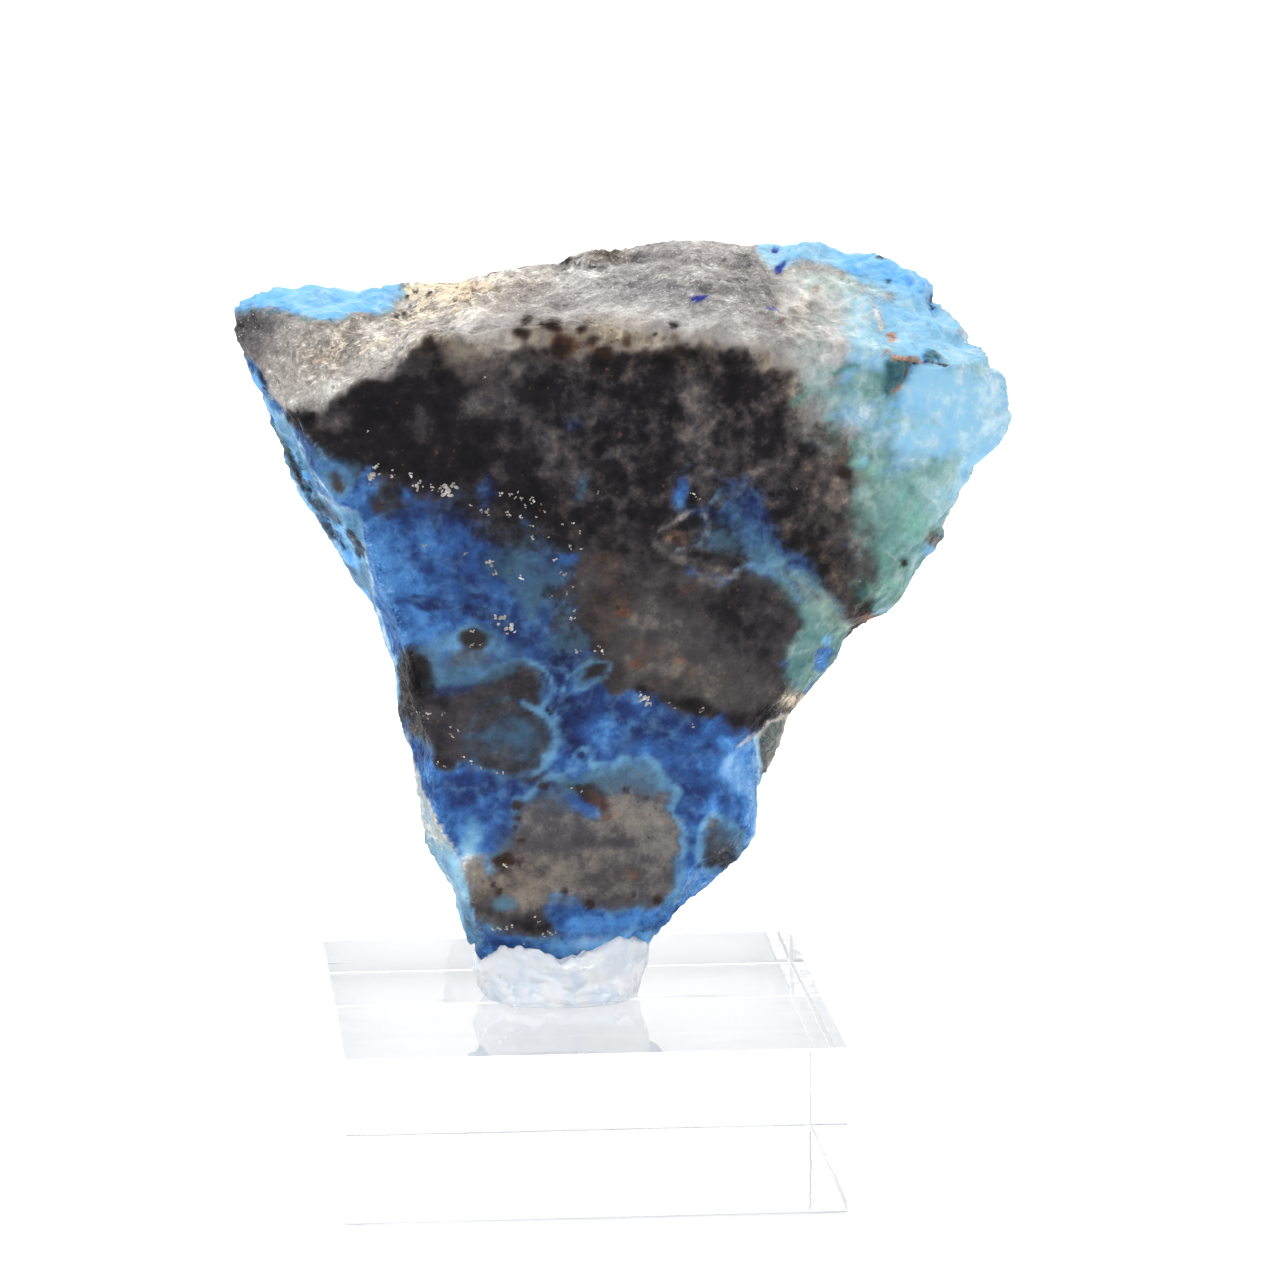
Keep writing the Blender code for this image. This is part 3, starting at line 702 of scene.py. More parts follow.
    crust = p.area([(225, 318), (234, 312), (240, 310), (253, 306), (263, 306), (276, 308),
                    (294, 315), (311, 318), (334, 318), (351, 313), (361, 310), (377, 311),
                    (393, 307), (402, 297), (400, 280), (300, 270), (240, 280), (215, 300)],
                   0.42, 0.35)
    p.put("sky", crust, 0.42 + 0.16 * mid + 0.08 * small)
    p.shade(p.line([(236, 310), (252, 304), (264, 303), (294, 311), (334, 314), (361, 306), (392, 300)],
                   9, 9.0, 5.0) * crust, 0.12, 0.75)
    p.shade(p.spot(262, 298, 26, 10, -12, 0.9, 0.5) * crust, 0.20, 0.6)
    p.put("teal", p.line([(236, 313), (252, 309), (276, 312), (300, 319), (330, 320)], 3.5, 3, 3),
          0.30, 0.6)
    crust = p.area([(757, 236), (757, 252), (764, 262), (776, 272), (790, 268), (806, 262),
                    (826, 264), (843, 270), (860, 282), (880, 288), (900, 300), (920, 318),
                    (940, 345), (965, 345), (960, 300), (920, 250), (860, 230)], 0.35, 0.35)
    p.put("sky", crust, 0.62 + 0.16 * mid + 0.10 * small)
    p.put("sky", p.area([(841, 250), (873, 251), (900, 263), (913, 270), (930, 284), (932, 297),
                         (907, 292), (886, 281), (861, 280), (846, 270)], 0.3, 0.3),
          0.28 + 0.14 * mid, 0.9)
    p.put("sky", p.spot(775, 256, 16, 10, 0, 0.8, 0.5), 0.82, 0.8)
    p.put("clay", p.spot(880, 258, 5, 2.5, 10, 0.6, 0.4), 0.62, 0.8)
    for x, y, rx, ry, turn in ((779, 270, 5, 7, 20), (776, 251, 3.5, 2.5, 0), (700, 297, 9, 2.6, -4),
                               (784, 264, 4, 3, 0), (772, 308, 5, 2, 0), (927, 362, 2, 1.5, 0)):
        p.put("indigo", p.spot(x, y, rx, ry, turn, 0.4, 0.5), 0.4, 0.92)

    # smooth cream under the crust, bluer towards the right
    cream = p.area([(783, 276), (800, 267), (826, 268), (850, 279), (868, 293), (880, 306), (872, 326),
                    (856, 344), (846, 362), (836, 380), (815, 394), (800, 384), (790, 356), (782, 330)],
                   0.7, 0.5)
    p.put("quartz", cream, 0.68 + 0.07 * mid + 0.05 * small, 0.92)
    for kind, x, y, rx, ry, turn, tone, amount in (
            ("teal", 825, 282, 44, 14, 12, 0.92, 0.50), ("quartz", 815, 305, 26, 12, 0, 0.78, 0.6),
            ("teal", 812, 350, 24, 26, 0, 0.72, 0.42), ("clay", 802, 308, 10, 12, 0, 0.92, 0.5),
            ("clay", 812, 338, 26, 22, 0, 0.88, 0.35), ("teal", 812, 386, 20, 16, 0, 0.44, 0.5),
            ("sky", 866, 304, 18, 14, 20, 0.80, 0.70), ("sky", 862, 332, 15, 22, 0, 0.66, 0.7),
            ("teal", 860, 318, 22, 30, 0, 0.78, 0.35),
            ("quartz", 832, 334, 8, 7, 20, 0.86, 0.8), ("clay", 790, 330, 8, 20, 0, 0.88, 0.5),
            ("teal", 850, 368, 24, 6, -18, 0.50, 0.5), ("teal", 870, 384, 24, 12, -8, 0.48, 0.5)):
        p.put(kind, p.spot(x, y, rx, ry, turn, 0.95, 0.8), tone + 0.05 * mid, amount)
    p.put("teal", p.line([(834, 373), (848, 368), (866, 362)], 2.4, 2.0, 1.0), 0.20, 0.5)
    p.blend(p.calm, cream, 1.0)
    p.blend(p.calm, p.area([(440, 312), (500, 304), (600, 306), (700, 312), (780, 330), (780, 372),
                            (700, 352), (600, 346), (500, 350), (450, 346)], 0.9, 0.5), 0.5)

    # the dark band of tenorite across the upper face
    dark = p.area([(284, 414), (297, 411), (318, 413), (336, 402), (350, 385), (360, 378),
                   (381, 376), (399, 367), (412, 352), (424, 339), (438, 333), (449, 338),
                   (455, 352), (481, 358), (500, 352), (520, 350), (545, 340), (575, 344),
                   (600, 350), (620, 350), (643, 348), (670, 345), (697, 354), (727, 356),
                   (745, 358), (773, 366), (790, 378), (796, 398), (806, 420), (826, 448),
                   (848, 470), (854, 510), (852, 545), (862, 575), (875, 612), (868, 630),
                   (845, 640), (832, 622), (815, 600), (790, 580), (765, 566), (750, 566),
                   (728, 580), (700, 580), (665, 566), (630, 552), (606, 562), (582, 590),
                   (566, 618), (574, 590), (570, 556), (548, 542), (520, 524), (495, 508),
                   (470, 500), (448, 490), (408, 487), (378, 482), (362, 468), (345, 458),
                   (325, 452), (305, 436), (292, 424)], soft=0.62, wobble=0.85)
    p.put("tenorite", dark, 0.14)
    lift = smooth_step(0.02, 0.55, cloud(warp, 0.62, 81, 3))
    speck = smooth_step(0.0, 0.5, cloud(co, 1.5, 82, 2))
    east = smooth_step(430, 640, p.x)
    p.tone[:] += dark * (0.03 + 0.04 * east + (0.25 + 0.75 * east) * (0.20 * lift + 0.10 * speck * lift) + 0.07 * mid)
    p.blend(p.mottle, dark, 0.46 + 0.36 * east)
    p.blend(p.warm, dark, 0.05 + 0.25 * smooth_step(780, 850, p.x))
    for x, y, rx, ry, turn, tone, amount in (
            (400, 430, 64, 44, -12, 0.03, 0.95), (450, 470, 60, 20, 6, 0.05, 0.9),
            (395, 462, 34, 14, 15, 0.04, 0.9), (421, 427, 12, 16, 0, 0.46, 0.75), (456, 436, 30, 10, -20, 0.24, 0.6), (366, 428, 16, 8, 0, 0.22, 0.6), (392, 398, 12, 16, 20, 0.20, 0.5),
            (335, 420, 14, 8, 0, 0.62, 0.8), (308, 420, 14, 6, 0, 0.10, 0.8),
            (466, 352, 22, 10, -5, 0.55, 0.7), (500, 365, 22, 10, -5, 0.50, 0.5),
            (540, 395, 18, 20, 0, 0.06, 0.7), (512, 370, 12, 12, 0, 0.08, 0.5),
            (490, 425, 20, 16, 0, 0.06, 0.7), (486, 396, 36, 17, -30, 0.60, 0.75),
            (516, 412, 26, 10, 20, 0.52, 0.65), (655, 362, 30, 12, 0, 0.03, 0.85), (620, 366, 22, 12, 0, 0.10, 0.7), (566, 364, 22, 10, 0, 0.08, 0.7), (805, 424, 12, 14, 0, 0.45, 0.6), (560, 456, 30, 15, 10, 0.34, 0.6), (625, 540, 28, 16, 0, 0.08, 0.8),
            (566, 476, 22, 10, 0, 0.62, 0.6), (640, 400, 22, 26, 0, 0.08, 0.6),
            (655, 380, 26, 12, 0, 0.08, 0.6), (690, 405, 9, 26, -12, 0.62, 0.75),
            (700, 440, 9, 22, -8, 0.60, 0.7), (735, 375, 26, 14, 0, 0.05, 0.7),
            (780, 388, 14, 14, 0, 0.05, 0.8), (760, 410, 22, 20, 0, 0.14, 0.5),
            (740, 420, 16, 30, 0, 0.10, 0.6), (640, 500, 30, 30, 0, 0.12, 0.6),
            (610, 480, 22, 12, 0, 0.16, 0.5), (800, 440, 14, 12, 0, 0.12, 0.6),
            (812, 430, 8, 8, 0, 0.08, 0.7), (770, 490, 22, 12, 0, 0.14, 0.5),
            (815, 470, 26, 26, 0, 0.40, 0.5), (845, 520, 26, 26, 0, 0.62, 0.6),
            (840, 500, 20, 12, 0, 0.66, 0.5), (806, 540, 14, 24, -25, 0.08, 0.8),
            (832, 560, 28, 16, 25, 0.30, 0.8), (864, 590, 6, 26, 0, 0.05, 0.9),
            (850, 608, 14, 12, 0, 0.50, 0.6), (530, 500, 34, 14, 12, 0.06, 0.7),
            (545, 530, 24, 12, 20, 0.10, 0.6), (600, 430, 24, 16, 0, 0.16, 0.4),
            (592, 545, 20, 26, 0, 0.22, 0.5)):
        p.shade(p.spot(x, y, rx, ry, turn, 0.8, 0.7), tone, amount * 0.9)

    # its ragged upper edge: pale quartz reaching down, dark blots reaching up
    for points, width, kind, tone, warmth, scale, seed in (
            ([(455, 352), (490, 352), (530, 345), (575, 342), (620, 346), (665, 344), (700, 352),
              (745, 356), (775, 368), (794, 390), (800, 415)], 26, "clay", 0.70, 0.85, 0.9, 84),
            ([(455, 345), (490, 350), (530, 342), (575, 338), (620, 342), (665, 340), (700, 348),
              (745, 352), (778, 364), (798, 388)], 20, "quartz", 0.54, 0.55, 0.7, 85),
            ([(470, 356), (520, 352), (575, 348), (620, 352), (680, 352), (740, 362), (780, 380)],
             24, "tenorite", 0.14, 0.40, 0.8, 86)):
        torn = smooth_step(0.0, 0.32, cloud(co, scale, seed, 3))
        cover = p.line(points, width, 9.0, 6.0) * torn
        p.put(kind, cover, tone + 0.08 * small, 0.66)
        p.blend(p.warm, cover, warmth)
    for kind, x, y, rx, ry, turn, tone, amount in (
            ("clay", 465, 352, 26, 15, 10, 0.74, 0.70), ("clay", 500, 342, 22, 8, 0, 0.80, 0.6),
            ("clay", 612, 338, 22, 12, 5, 0.88, 0.75), ("clay", 580, 330, 26, 8, 0, 0.82, 0.6),
            ("tenorite", 530, 362, 34, 9, 4, 0.56, 0.70), ("tenorite", 500, 372, 18, 9, 0, 0.48, 0.6),
            ("tenorite", 600, 378, 40, 10, 0, 0.24, 0.6), ("tenorite", 640, 366, 36, 12, 0, 0.14, 0.8),
            ("rust", 563, 345, 15, 8, 25, 0.06, 0.75), ("rust", 553, 327, 8, 4, 0, 0.06, 0.7),
            ("rust", 520, 333, 7, 4, 0, 0.10, 0.7), ("rust", 598, 350, 9, 5, 15, 0.14, 0.7),
            ("rust", 583, 327, 4, 6, 0, 0.18, 0.5), ("rust", 626, 342, 4, 7, 0, 0.16, 0.5)):
        p.put(kind, p.spot(x, y, rx, ry, turn, 0.95, 0.9), tone + 0.06 * mid, amount)
    for points, width, kind, tone, amount, seed in (
            ([(802, 408), (826, 440), (848, 468), (856, 510), (860, 550), (872, 590)], 34,
             "teal", 0.26, 0.75, 87),
            ([(812, 420), (836, 450), (856, 480), (864, 520), (868, 560)], 30, "clay", 0.62, 0.6, 88),
            ([(790, 392), (800, 410), (826, 436), (846, 462)], 22, "quartz", 0.45, 0.5, 89),
            ([(866, 470), (874, 510), (876, 550)], 26, "tenorite", 0.30, 0.45, 90)):
        torn = smooth_step(-0.05, 0.35, cloud(co, 0.7, seed, 3))
        cover = p.line(points, width, 11.0, 6.0) * torn
        p.put(kind, cover, tone + 0.08 * small, amount)
        p.blend(p.warm, cover, 0.25)
    for points, width, kind, tone, amount, seed in (
            ([(448, 500), (490, 516), (530, 536), (560, 556), (566, 590)], 36, "tenorite", 0.20, 0.55, 101),
            ([(440, 506), (480, 524), (524, 544), (556, 566)], 40, "veil", 0.10, 0.55, 102),
            ([(360, 474), (400, 492), (450, 500), (500, 518), (545, 548)], 16, "clay", 0.30, 0.5, 103),
            ([(500, 560), (530, 580), (540, 610)], 40, "veil", 0.22, 0.35, 104)):
        torn = smooth_step(-0.15, 0.35, cloud(co, 0.6, seed, 3))
        p.put(kind, p.line(points, width, 10.0, 6.0) * torn, tone + 0.08 * small, amount)
    for kind, x, y, rx, ry, turn, tone, amount in (
            ("clay", 866, 560, 15, 36, 0, 0.50, 0.70), ("tenorite", 858, 500, 12, 30, 0, 0.50, 0.45),
            ("clay", 838, 452, 20, 18, 20, 0.56, 0.65), ("clay", 806, 422, 16, 14, 0, 0.38, 0.9), ("quartz", 812, 416, 16, 14, 20, 0.34, 0.55),
            ("quartz", 846, 430, 14, 10, 20, 0.44, 0.40), ("tenorite", 526, 542, 50, 22, 25, 0.20, 0.80),
            ("tenorite", 462, 508, 48, 12, 10, 0.20, 0.66), ("tenorite", 385, 483, 20, 8, 0, 0.26, 0.55),
            ("veil", 540, 575, 28, 24, 20, 0.04, 0.55), ("veil", 500, 566, 26, 12, 10, 0.02, 0.45),
            ("tenorite", 566, 600, 8, 26, 0, 0.30, 0.5), ("veil", 350, 470, 14, 8, 20, 0.12, 0.45), ("veil", 322, 478, 12, 24, -22, 0.72, 0.45)):
        p.put(kind, p.spot(x, y, rx, ry, turn, 0.95, 0.9), tone + 0.08 * mid, amount)
    ridge = [(280, 404), (312, 398), (336, 386), (350, 371), (378, 360), (400, 349), (420, 331),
             (440, 320), (480, 312)]
    p.put("quartz", p.line(ridge, 15, 6.0, 5.0), 0.78 + 0.14 * small, 0.75)

    # grey-brown zone below it, clouded
    brown = p.area([(575, 566), (590, 545), (612, 528), (640, 522), (655, 548), (690, 562),
                    (712, 584), (735, 572), (765, 570), (790, 586), (804, 602), (808, 618),
                    (797, 642), (788, 668), (800, 690), (789, 715), (765, 724), (740, 738),
                    (725, 726), (708, 714), (674, 708), (640, 698), (612, 688), (590, 668),
                    (574, 650), (564, 622), (572, 592)], soft=0.55, wobble=1.0)
    p.put("clay", brown, 0.46 + 0.10 * big + 0.10 * mid + 0.05 * small)
    p.blend(p.mottle, brown, 0.34)
    for kind, x, y, rx, ry, turn, tone, amount in (
            ("tenorite", 745, 610, 52, 32, 20, 0.20, 0.92), ("tenorite", 770, 638, 28, 26, 0, 0.33, 0.8),
            ("tenorite", 770, 672, 14, 18, 0, 0.22, 0.7), ("tenorite", 640, 560, 42, 24, 10, 0.24, 0.85),
            ("clay", 640, 640, 40, 36, 0, 0.56, 0.5), ("clay", 700, 690, 30, 14, 10, 0.54, 0.6),
            ("clay", 745, 690, 34, 12, -10, 0.54, 0.6), ("clay", 662, 666, 30, 16, 10, 0.72, 0.6),
            ("clay", 792, 700, 22, 9, -42, 0.98, 0.9), ("clay", 708, 568, 24, 6, 24, 0.60, 0.6),
            ("tenorite", 612, 672, 16, 12, 0, 0.22, 0.6), ("tenorite", 592, 625, 8, 22, 0, 0.25, 0.5),
            ("tenorite", 600, 600, 12, 10, 0, 0.26, 0.4), ("tenorite", 672, 700, 26, 5, 8, 0.20, 0.8),
            ("tenorite", 705, 710, 26, 7, 14, 0.10, 0.8), ("tenorite", 750, 722, 26, 9, 4, 0.08, 0.95),
            ("tenorite", 768, 714, 14, 8, -14, 0.07, 0.9), ("tenorite", 645, 692, 12, 5, 20, 0.05, 0.8)):
        p.put(kind, p.spot(x, y, rx, ry, turn, 0.7, 0.7), tone + 0.10 * mid + 0.05 * small, amount)

    for points, width, kind, tone, amount, scale, seed in (
            ([(556, 566), (556, 596), (560, 624), (572, 650)], 34, "tenorite", 0.30, 0.60, 0.9, 121),
            ([(548, 580), (552, 606), (560, 640)], 30, "veil", 0.14, 0.55, 0.8, 122),
            ([(590, 590), (600, 620), (620, 650), (650, 676)], 50, "rust", 0.24, 0.18, 0.8, 123),
            ([(620, 560), (640, 600), (640, 640), (680, 670)], 60, "tenorite", 0.34, 0.50, 0.6, 124),
            ([(640, 580), (660, 610), (700, 650), (740, 690)], 60, "clay", 0.70, 0.40, 0.7, 125)):
        torn = smooth_step(-0.02, 0.36, cloud(co, scale, seed, 3))
        p.put(kind, p.line(points, width, 12.0, 6.0) * torn, tone + 0.08 * small, amount)
    for x, y, rx, ry, turn, tone, amount in (
            (618, 602, 9, 7, 20, 0.34, 0.20), (640, 646, 22, 10, 20, 0.36, 0.22),
            (610, 574, 8, 8, 0, 0.46, 0.35), (596, 560, 6, 4, 0, 0.30, 0.4),
            (635, 663, 5, 4, 0, 0.16, 0.6), (623, 612, 5, 3, 20, 0.14, 0.6)):
        p.put("rust", p.spot(x, y, rx, ry, turn, 0.95, 1.1), tone, amount)
    p.put("veil", p.area([(556, 634), (566, 627), (580, 627), (592, 634), (594, 648), (582, 656),
                          (566, 654), (557, 645)], 0.4, 0.6), 0.02, 0.50)

    # blue let into the dark band, with its teal veil
    p.put("azurite", p.area([(722, 480), (748, 478), (765, 498), (770, 520), (778, 540),
                             (800, 552), (818, 572), (826, 590), (800, 585), (772, 566),
                             (742, 552), (724, 536), (716, 516), (722, 498)], 0.5, 0.6),
          0.32 + 0.10 * mid, 0.80)
    p.put("veil", p.spot(742, 520, 34, 12, 45, 0.9, 0.6), 0.22, 0.5)
    p.put("veil", p.spot(716, 538, 18, 12, 20, 0.9, 0.6), 0.30, 0.5)
    p.put("tenorite", p.spot(735, 492, 24, 14, 0, 0.9, 0.6), 0.22, 0.45)
    p.put("tenorite", p.spot(690, 540, 26, 12, 0, 0.8, 0.6), 0.34, 0.6)
    p.put("azurite", p.spot(681, 493, 8, 15, 5, 0.6, 0.4), 0.50, 0.9)
    p.put("azurite", p.spot(700, 513, 14, 10, 0, 0.7, 0.4), 0.10, 0.6)
    p.put("azurite", p.spot(565, 560, 12, 6, 0, 0.6, 0.4), 0.45, 0.9)
    p.put("azurite", p.spot(486, 492, 9, 14, 0, 0.9, 0.4), 0.20, 0.55)
    p.put("azurite", p.spot(573, 425, 8, 8, 0, 0.9, 0.4), 0.05, 0.45)
    p.put("veil", p.spot(582, 488, 7, 14, 20, 0.9, 0.4), 0.15, 0.5)
    p.put("veil", p.area([(742, 548), (768, 548), (800, 566), (826, 588), (850, 620), (838, 640),
                          (818, 628), (806, 606), (786, 586), (756, 568)], 0.6, 0.6),
          0.34 + 0.12 * mid, 0.75)
    p.put("teal", p.spot(810, 598, 38, 15, 45, 0.9, 0.7), 0.30, 0.55)
    p.put("quartz", p.spot(822, 606, 30, 12, 45, 0.9, 0.7), 0.40, 0.35)
    p.put("teal", p.area([(806, 604), (826, 606), (846, 628), (838, 655), (815, 684), (800, 692),
                          (786, 668), (796, 644), (808, 624)], 0.5, 0.6), 0.46 + 0.14 * mid, 0.9)
    p.put("azurite", p.spot(795, 563, 9, 6, 0, 0.8, 0.4), 0.30, 0.7)
    for points, width, tone, amount in (
            ([(735, 570), (752, 566), (768, 570), (790, 584), (800, 600)], 6, 0.62, 0.55),
            ([(686, 514), (692, 509), (702, 511), (709, 521), (707, 531), (700, 542),
              (690, 549), (676, 551)], 2.5, 0.50, 0.55),
            ([(704, 470), (716, 474), (721, 484), (718, 497), (708, 503)], 3, 0.45, 0.5),
            ([(672, 478), (682, 468), (694, 462)], 3, 0.35, 0.3)):
        p.put("veil", p.line(points, width, 3.0, 2.0), tone, amount)
    for points, width, tone, amount in (
            ([(656, 547), (655, 538), (661, 529), (675, 522), (686, 514)], 4.5, 0.70, 0.9),
            ([(699, 543), (707, 532), (709, 521), (702, 512), (692, 510), (684, 515)], 3.5, 0.62, 0.7),
            ([(657, 548), (668, 554), (690, 562), (702, 577), (714, 584), (735, 572)], 8, 0.50, 0.55),
            ([(664, 540), (676, 548), (690, 551)], 3, 0.45, 0.4)):
        p.put("quartz", p.line(points, width, 5.0, 3.5), tone * 0.80, amount * 0.72)
    p.put("tenorite", p.spot(703, 481, 13, 12, 0, 0.7, 0.4), 0.42, 0.75)
    p.put("tenorite", p.spot(696, 522, 8, 9, 0, 0.7, 0.4), 0.22, 0.75)
    p.put("rust", p.spot(676, 538, 10, 7, 20, 0.9, 0.6), 0.28, 0.5)
    p.put("clay", p.spot(722, 551, 17, 13, 0, 0.6, 0.4), 0.42, 0.85)

    # haloed patches in the blue
    patches = (
        ([(517, 806), (535, 794), (552, 779), (566, 776), (572, 790), (580, 806), (594, 815),
          (604, 806), (598, 792), (590, 778), (602, 772), (620, 764), (637, 761), (655, 768),
          (662, 780), (676, 790), (673, 809), (682, 828), (687, 845), (680, 862), (677, 880),
          (673, 897), (658, 901), (630, 908), (612, 914), (590, 908), (573, 899), (552, 900),
          (548, 914), (552, 935), (529, 943), (488, 930), (466, 906), (464, 891), (478, 878),
          (492, 858), (506, 852), (513, 830)], 0.66, 0.20),
        ([(396, 664), (404, 652), (415, 648), (428, 655), (436, 672), (438, 690), (452, 682),
          (472, 682), (492, 674), (508, 664), (520, 662), (534, 670), (542, 684), (546, 702),
          (540, 712), (552, 722), (557, 740), (552, 756), (540, 768), (528, 777), (505, 778),
          (482, 770), (464, 758), (447, 769), (436, 764), (430, 748), (411, 734), (397, 710)],
         0.30, 0.16),
        ([(702, 836), (706, 822), (718, 818), (730, 826), (742, 834), (743, 852), (736, 866),
          (722, 872), (708, 868), (700, 852)], 0.40, 0.22),
        ([(464, 629), (478, 627), (489, 634), (490, 646), (480, 651), (466, 648), (461, 638)],
         0.30, 0.12),
        ([(328, 474), (334, 469), (342, 478), (346, 487), (340, 491), (332, 486)], 0.45, 0.10),
        ([(573, 684), (581, 673), (596, 663), (604, 664), (601, 674), (587, 685), (577, 688)],
         0.16, 0.10),
    )
    for points, tone, rim in patches:
        halo = p.area(points, 0.30, 0.42, grow=0.26) * (0.6 + 0.4 * smooth_step(-0.3, 0.4, small))
        p.put("veil", halo, 0.42 + 0.12 * mid, 0.8)
        body = p.area(points, 0.36, 0.5, grow=-rim)
        p.put("clay", body, tone + 0.10 * mid, 0.95)
        p.blend(p.mottle, body, 0.36)
    # inside the large lower patch
    for kind, x, y, rx, ry, turn, tone, amount in (
            ("veil", 610, 778, 36, 14, 0, 0.24, 0.75), ("veil", 650, 785, 20, 18, 0, 0.28, 0.6),
            ("clay", 618, 786, 30, 12, 0, 0.52, 0.4), ("clay", 560, 796, 16, 8, -25, 0.50, 0.4),
            ("clay", 656, 838, 20, 26, 0, 0.78, 0.7), ("veil", 556, 796, 22, 14, -25, 0.10, 0.6),
            ("clay", 540, 806, 24, 20, -25, 0.46, 0.55), ("azurite", 582, 806, 16, 8, 30, 0.40, 0.75),
            ("clay", 560, 836, 34, 20, 0, 0.46, 0.6), ("clay", 622, 902, 30, 8, -4, 0.42, 0.65), ("clay", 478, 872, 12, 20, 10, 0.70, 0.85), ("clay", 540, 870, 44, 18, 0, 0.68, 0.6),
            ("clay", 636, 815, 30, 18, 0, 0.70, 0.6), ("clay", 630, 860, 44, 26, 0, 0.60, 0.6),
            ("clay", 510, 884, 20, 14, 0, 0.72, 0.7), ("clay", 645, 882, 26, 12, 0, 0.50, 0.6),
            ("clay", 600, 880, 26, 12, 0, 0.45, 0.5), ("clay", 604, 842, 26, 5, 0, 0.28, 0.5),
            ("tenorite", 481, 914, 14, 10, 10, 0.30, 0.85), ("tenorite", 530, 926, 28, 11, 4, 0.16, 0.9),
            ("tenorite", 508, 934, 26, 7, 0, 0.26, 0.5), ("veil", 503, 902, 10, 7, 0, 0.25, 0.55),
            ("azurite", 560, 910, 12, 5, 0, 0.30, 0.7), ("azurite", 500, 944, 26, 6, 4, 0.12, 0.75),
            # inside the left one
            ("tenorite", 413, 676, 15, 27, 6, 0.12, 0.97), ("tenorite", 430, 722, 34, 18, 10, 0.30, 0.85),
            ("tenorite", 470, 745, 34, 18, 0, 0.32, 0.8), ("tenorite", 480, 700, 34, 12, 0, 0.32, 0.7), ("clay", 508, 738, 38, 34, 0, 0.50, 0.6),
            ("veil", 520, 742, 30, 28, 0, 0.04, 0.42),
            ("tenorite", 520, 690, 18, 22, 0, 0.28, 0.7), ("clay", 399, 690, 4, 20, 0, 0.45, 0.8),
            ("clay", 410, 730, 10, 10, 30, 0.66, 0.7), ("tenorite", 556, 711, 11, 9, 0, 0.12, 0.9),
            ("clay", 474, 660, 30, 9, -10, 0.50, 0.5), ("veil", 475, 672, 34, 8, -10, 0.18, 0.6), ("azurite", 455, 690, 16, 5, -10, 0.30, 0.4),
            ("tenorite", 443, 764, 10, 6, 20, 0.15, 0.8), ("tenorite", 510, 762, 26, 8, 0, 0.26, 0.7),
            ("veil", 507, 738, 19, 13, -10, 0.20, 0.50),
            # round patch at the right
            ("clay", 714, 828, 9, 9, 0, 0.62, 0.7), ("tenorite", 712, 860, 12, 8, 20, 0.34, 0.65),
            ("veil", 730, 838, 16, 16, 0, 0.22, 0.55), ("clay", 722, 846, 14, 12, 0, 0.66, 0.5),
            ("clay", 475, 640, 9, 7, 0, 0.20, 0.8)):
        p.put(kind, p.spot(x, y, rx, ry, turn, 0.85, 0.8), tone + 0.07 * mid, amount)
    p.put("azurite", p.spot(538, 786, 18, 10, -20, 0.9, 0.5), 0.06, 0.55)
    p.put("azurite", p.spot(560, 698, 14, 15, 0, 0.9, 0.5), 0.04, 0.60)
    p.put("clay", p.spot(506, 843, 14, 18, 0, 0.9, 0.5), 0.42, 0.50)
    p.put("veil", p.spot(715, 541, 16, 10, 10, 0.9, 0.5), 0.24, 0.35)
    p.put("tenorite", p.spot(628, 540, 26, 13, 0, 0.9, 0.7), 0.05, 0.70)
    p.put("tenorite", p.spot(655, 359, 22, 9, 0, 0.9, 0.8), 0.05, 0.65)
    p.put("tenorite", p.spot(625, 573, 20, 14, 0, 0.9, 0.8), 0.24, 0.55)
    p.put("tenorite", p.spot(866, 573, 11, 16, 0, 0.9, 0.6), 0.42, 0.50)
    p.put("azurite", p.spot(566, 723, 16, 24, 0, 0.9, 0.5), 0.03, 0.55)
    p.shade(p.spot(518, 783, 62, 9, -2, 0.9, 0.5), 0.06, 0.45)
    p.put("clay", p.spot(505, 872, 20, 16, 0, 0.9, 0.5), 0.50, 0.50)
    p.put("clay", p.spot(474, 926, 11, 20, -8, 0.9, 0.5), 0.58, 0.32)
    p.put("clay", p.spot(476, 898, 12, 12, 0, 0.9, 0.5), 0.66, 0.40)
    p.put("clay", p.spot(595, 332, 24, 8, 0, 0.9, 0.8), 0.92, 0.45)
    p.put("clay", p.spot(445, 333, 14, 9, -20, 0.9, 0.8), 0.86, 0.50)
    p.put("veil", p.spot(746, 540, 20, 15, 40, 0.9, 0.5), 0.30, 0.45)
    p.put("clay", p.spot(533, 778, 16, 8, -10, 0.9, 0.5), 0.40, 0.30)
    p.put("clay", p.spot(594, 900, 18, 8, 0, 0.9, 0.5), 0.55, 0.50)
    p.put("clay", p.spot(474, 660, 26, 8, -10, 0.9, 0.5), 0.48, 0.25)
    p.put("teal", p.spot(866, 508, 14, 20, 0, 0.9, 0.5), 0.48, 0.45)
    for x, y, rx, ry, turn, tone, amount in ((902, 508, 14, 26, 5, 0.50, 0.45), (918, 526, 12, 20, 15, 0.62, 0.5),
                                             (893, 584, 12, 8, -30, 0.50, 0.6), (872, 470, 12, 8, 0, 0.7, 0.4),
                                             (858, 462, 5, 4, 0, 0.7, 0.5), (884, 556, 14, 20, 0, 0.30, 0.4)):
        p.put("mint", p.spot(x, y, rx, ry, turn, 0.95, 0.8), tone + 0.06 * mid, amount)
    p.put("teal", p.spot(800, 663, 14, 20, 20, 0.9, 0.5), 0.16, 0.65)
    p.put("clay", p.spot(796, 586, 28, 9, 42, 0.9, 0.6), 0.74, 0.30)
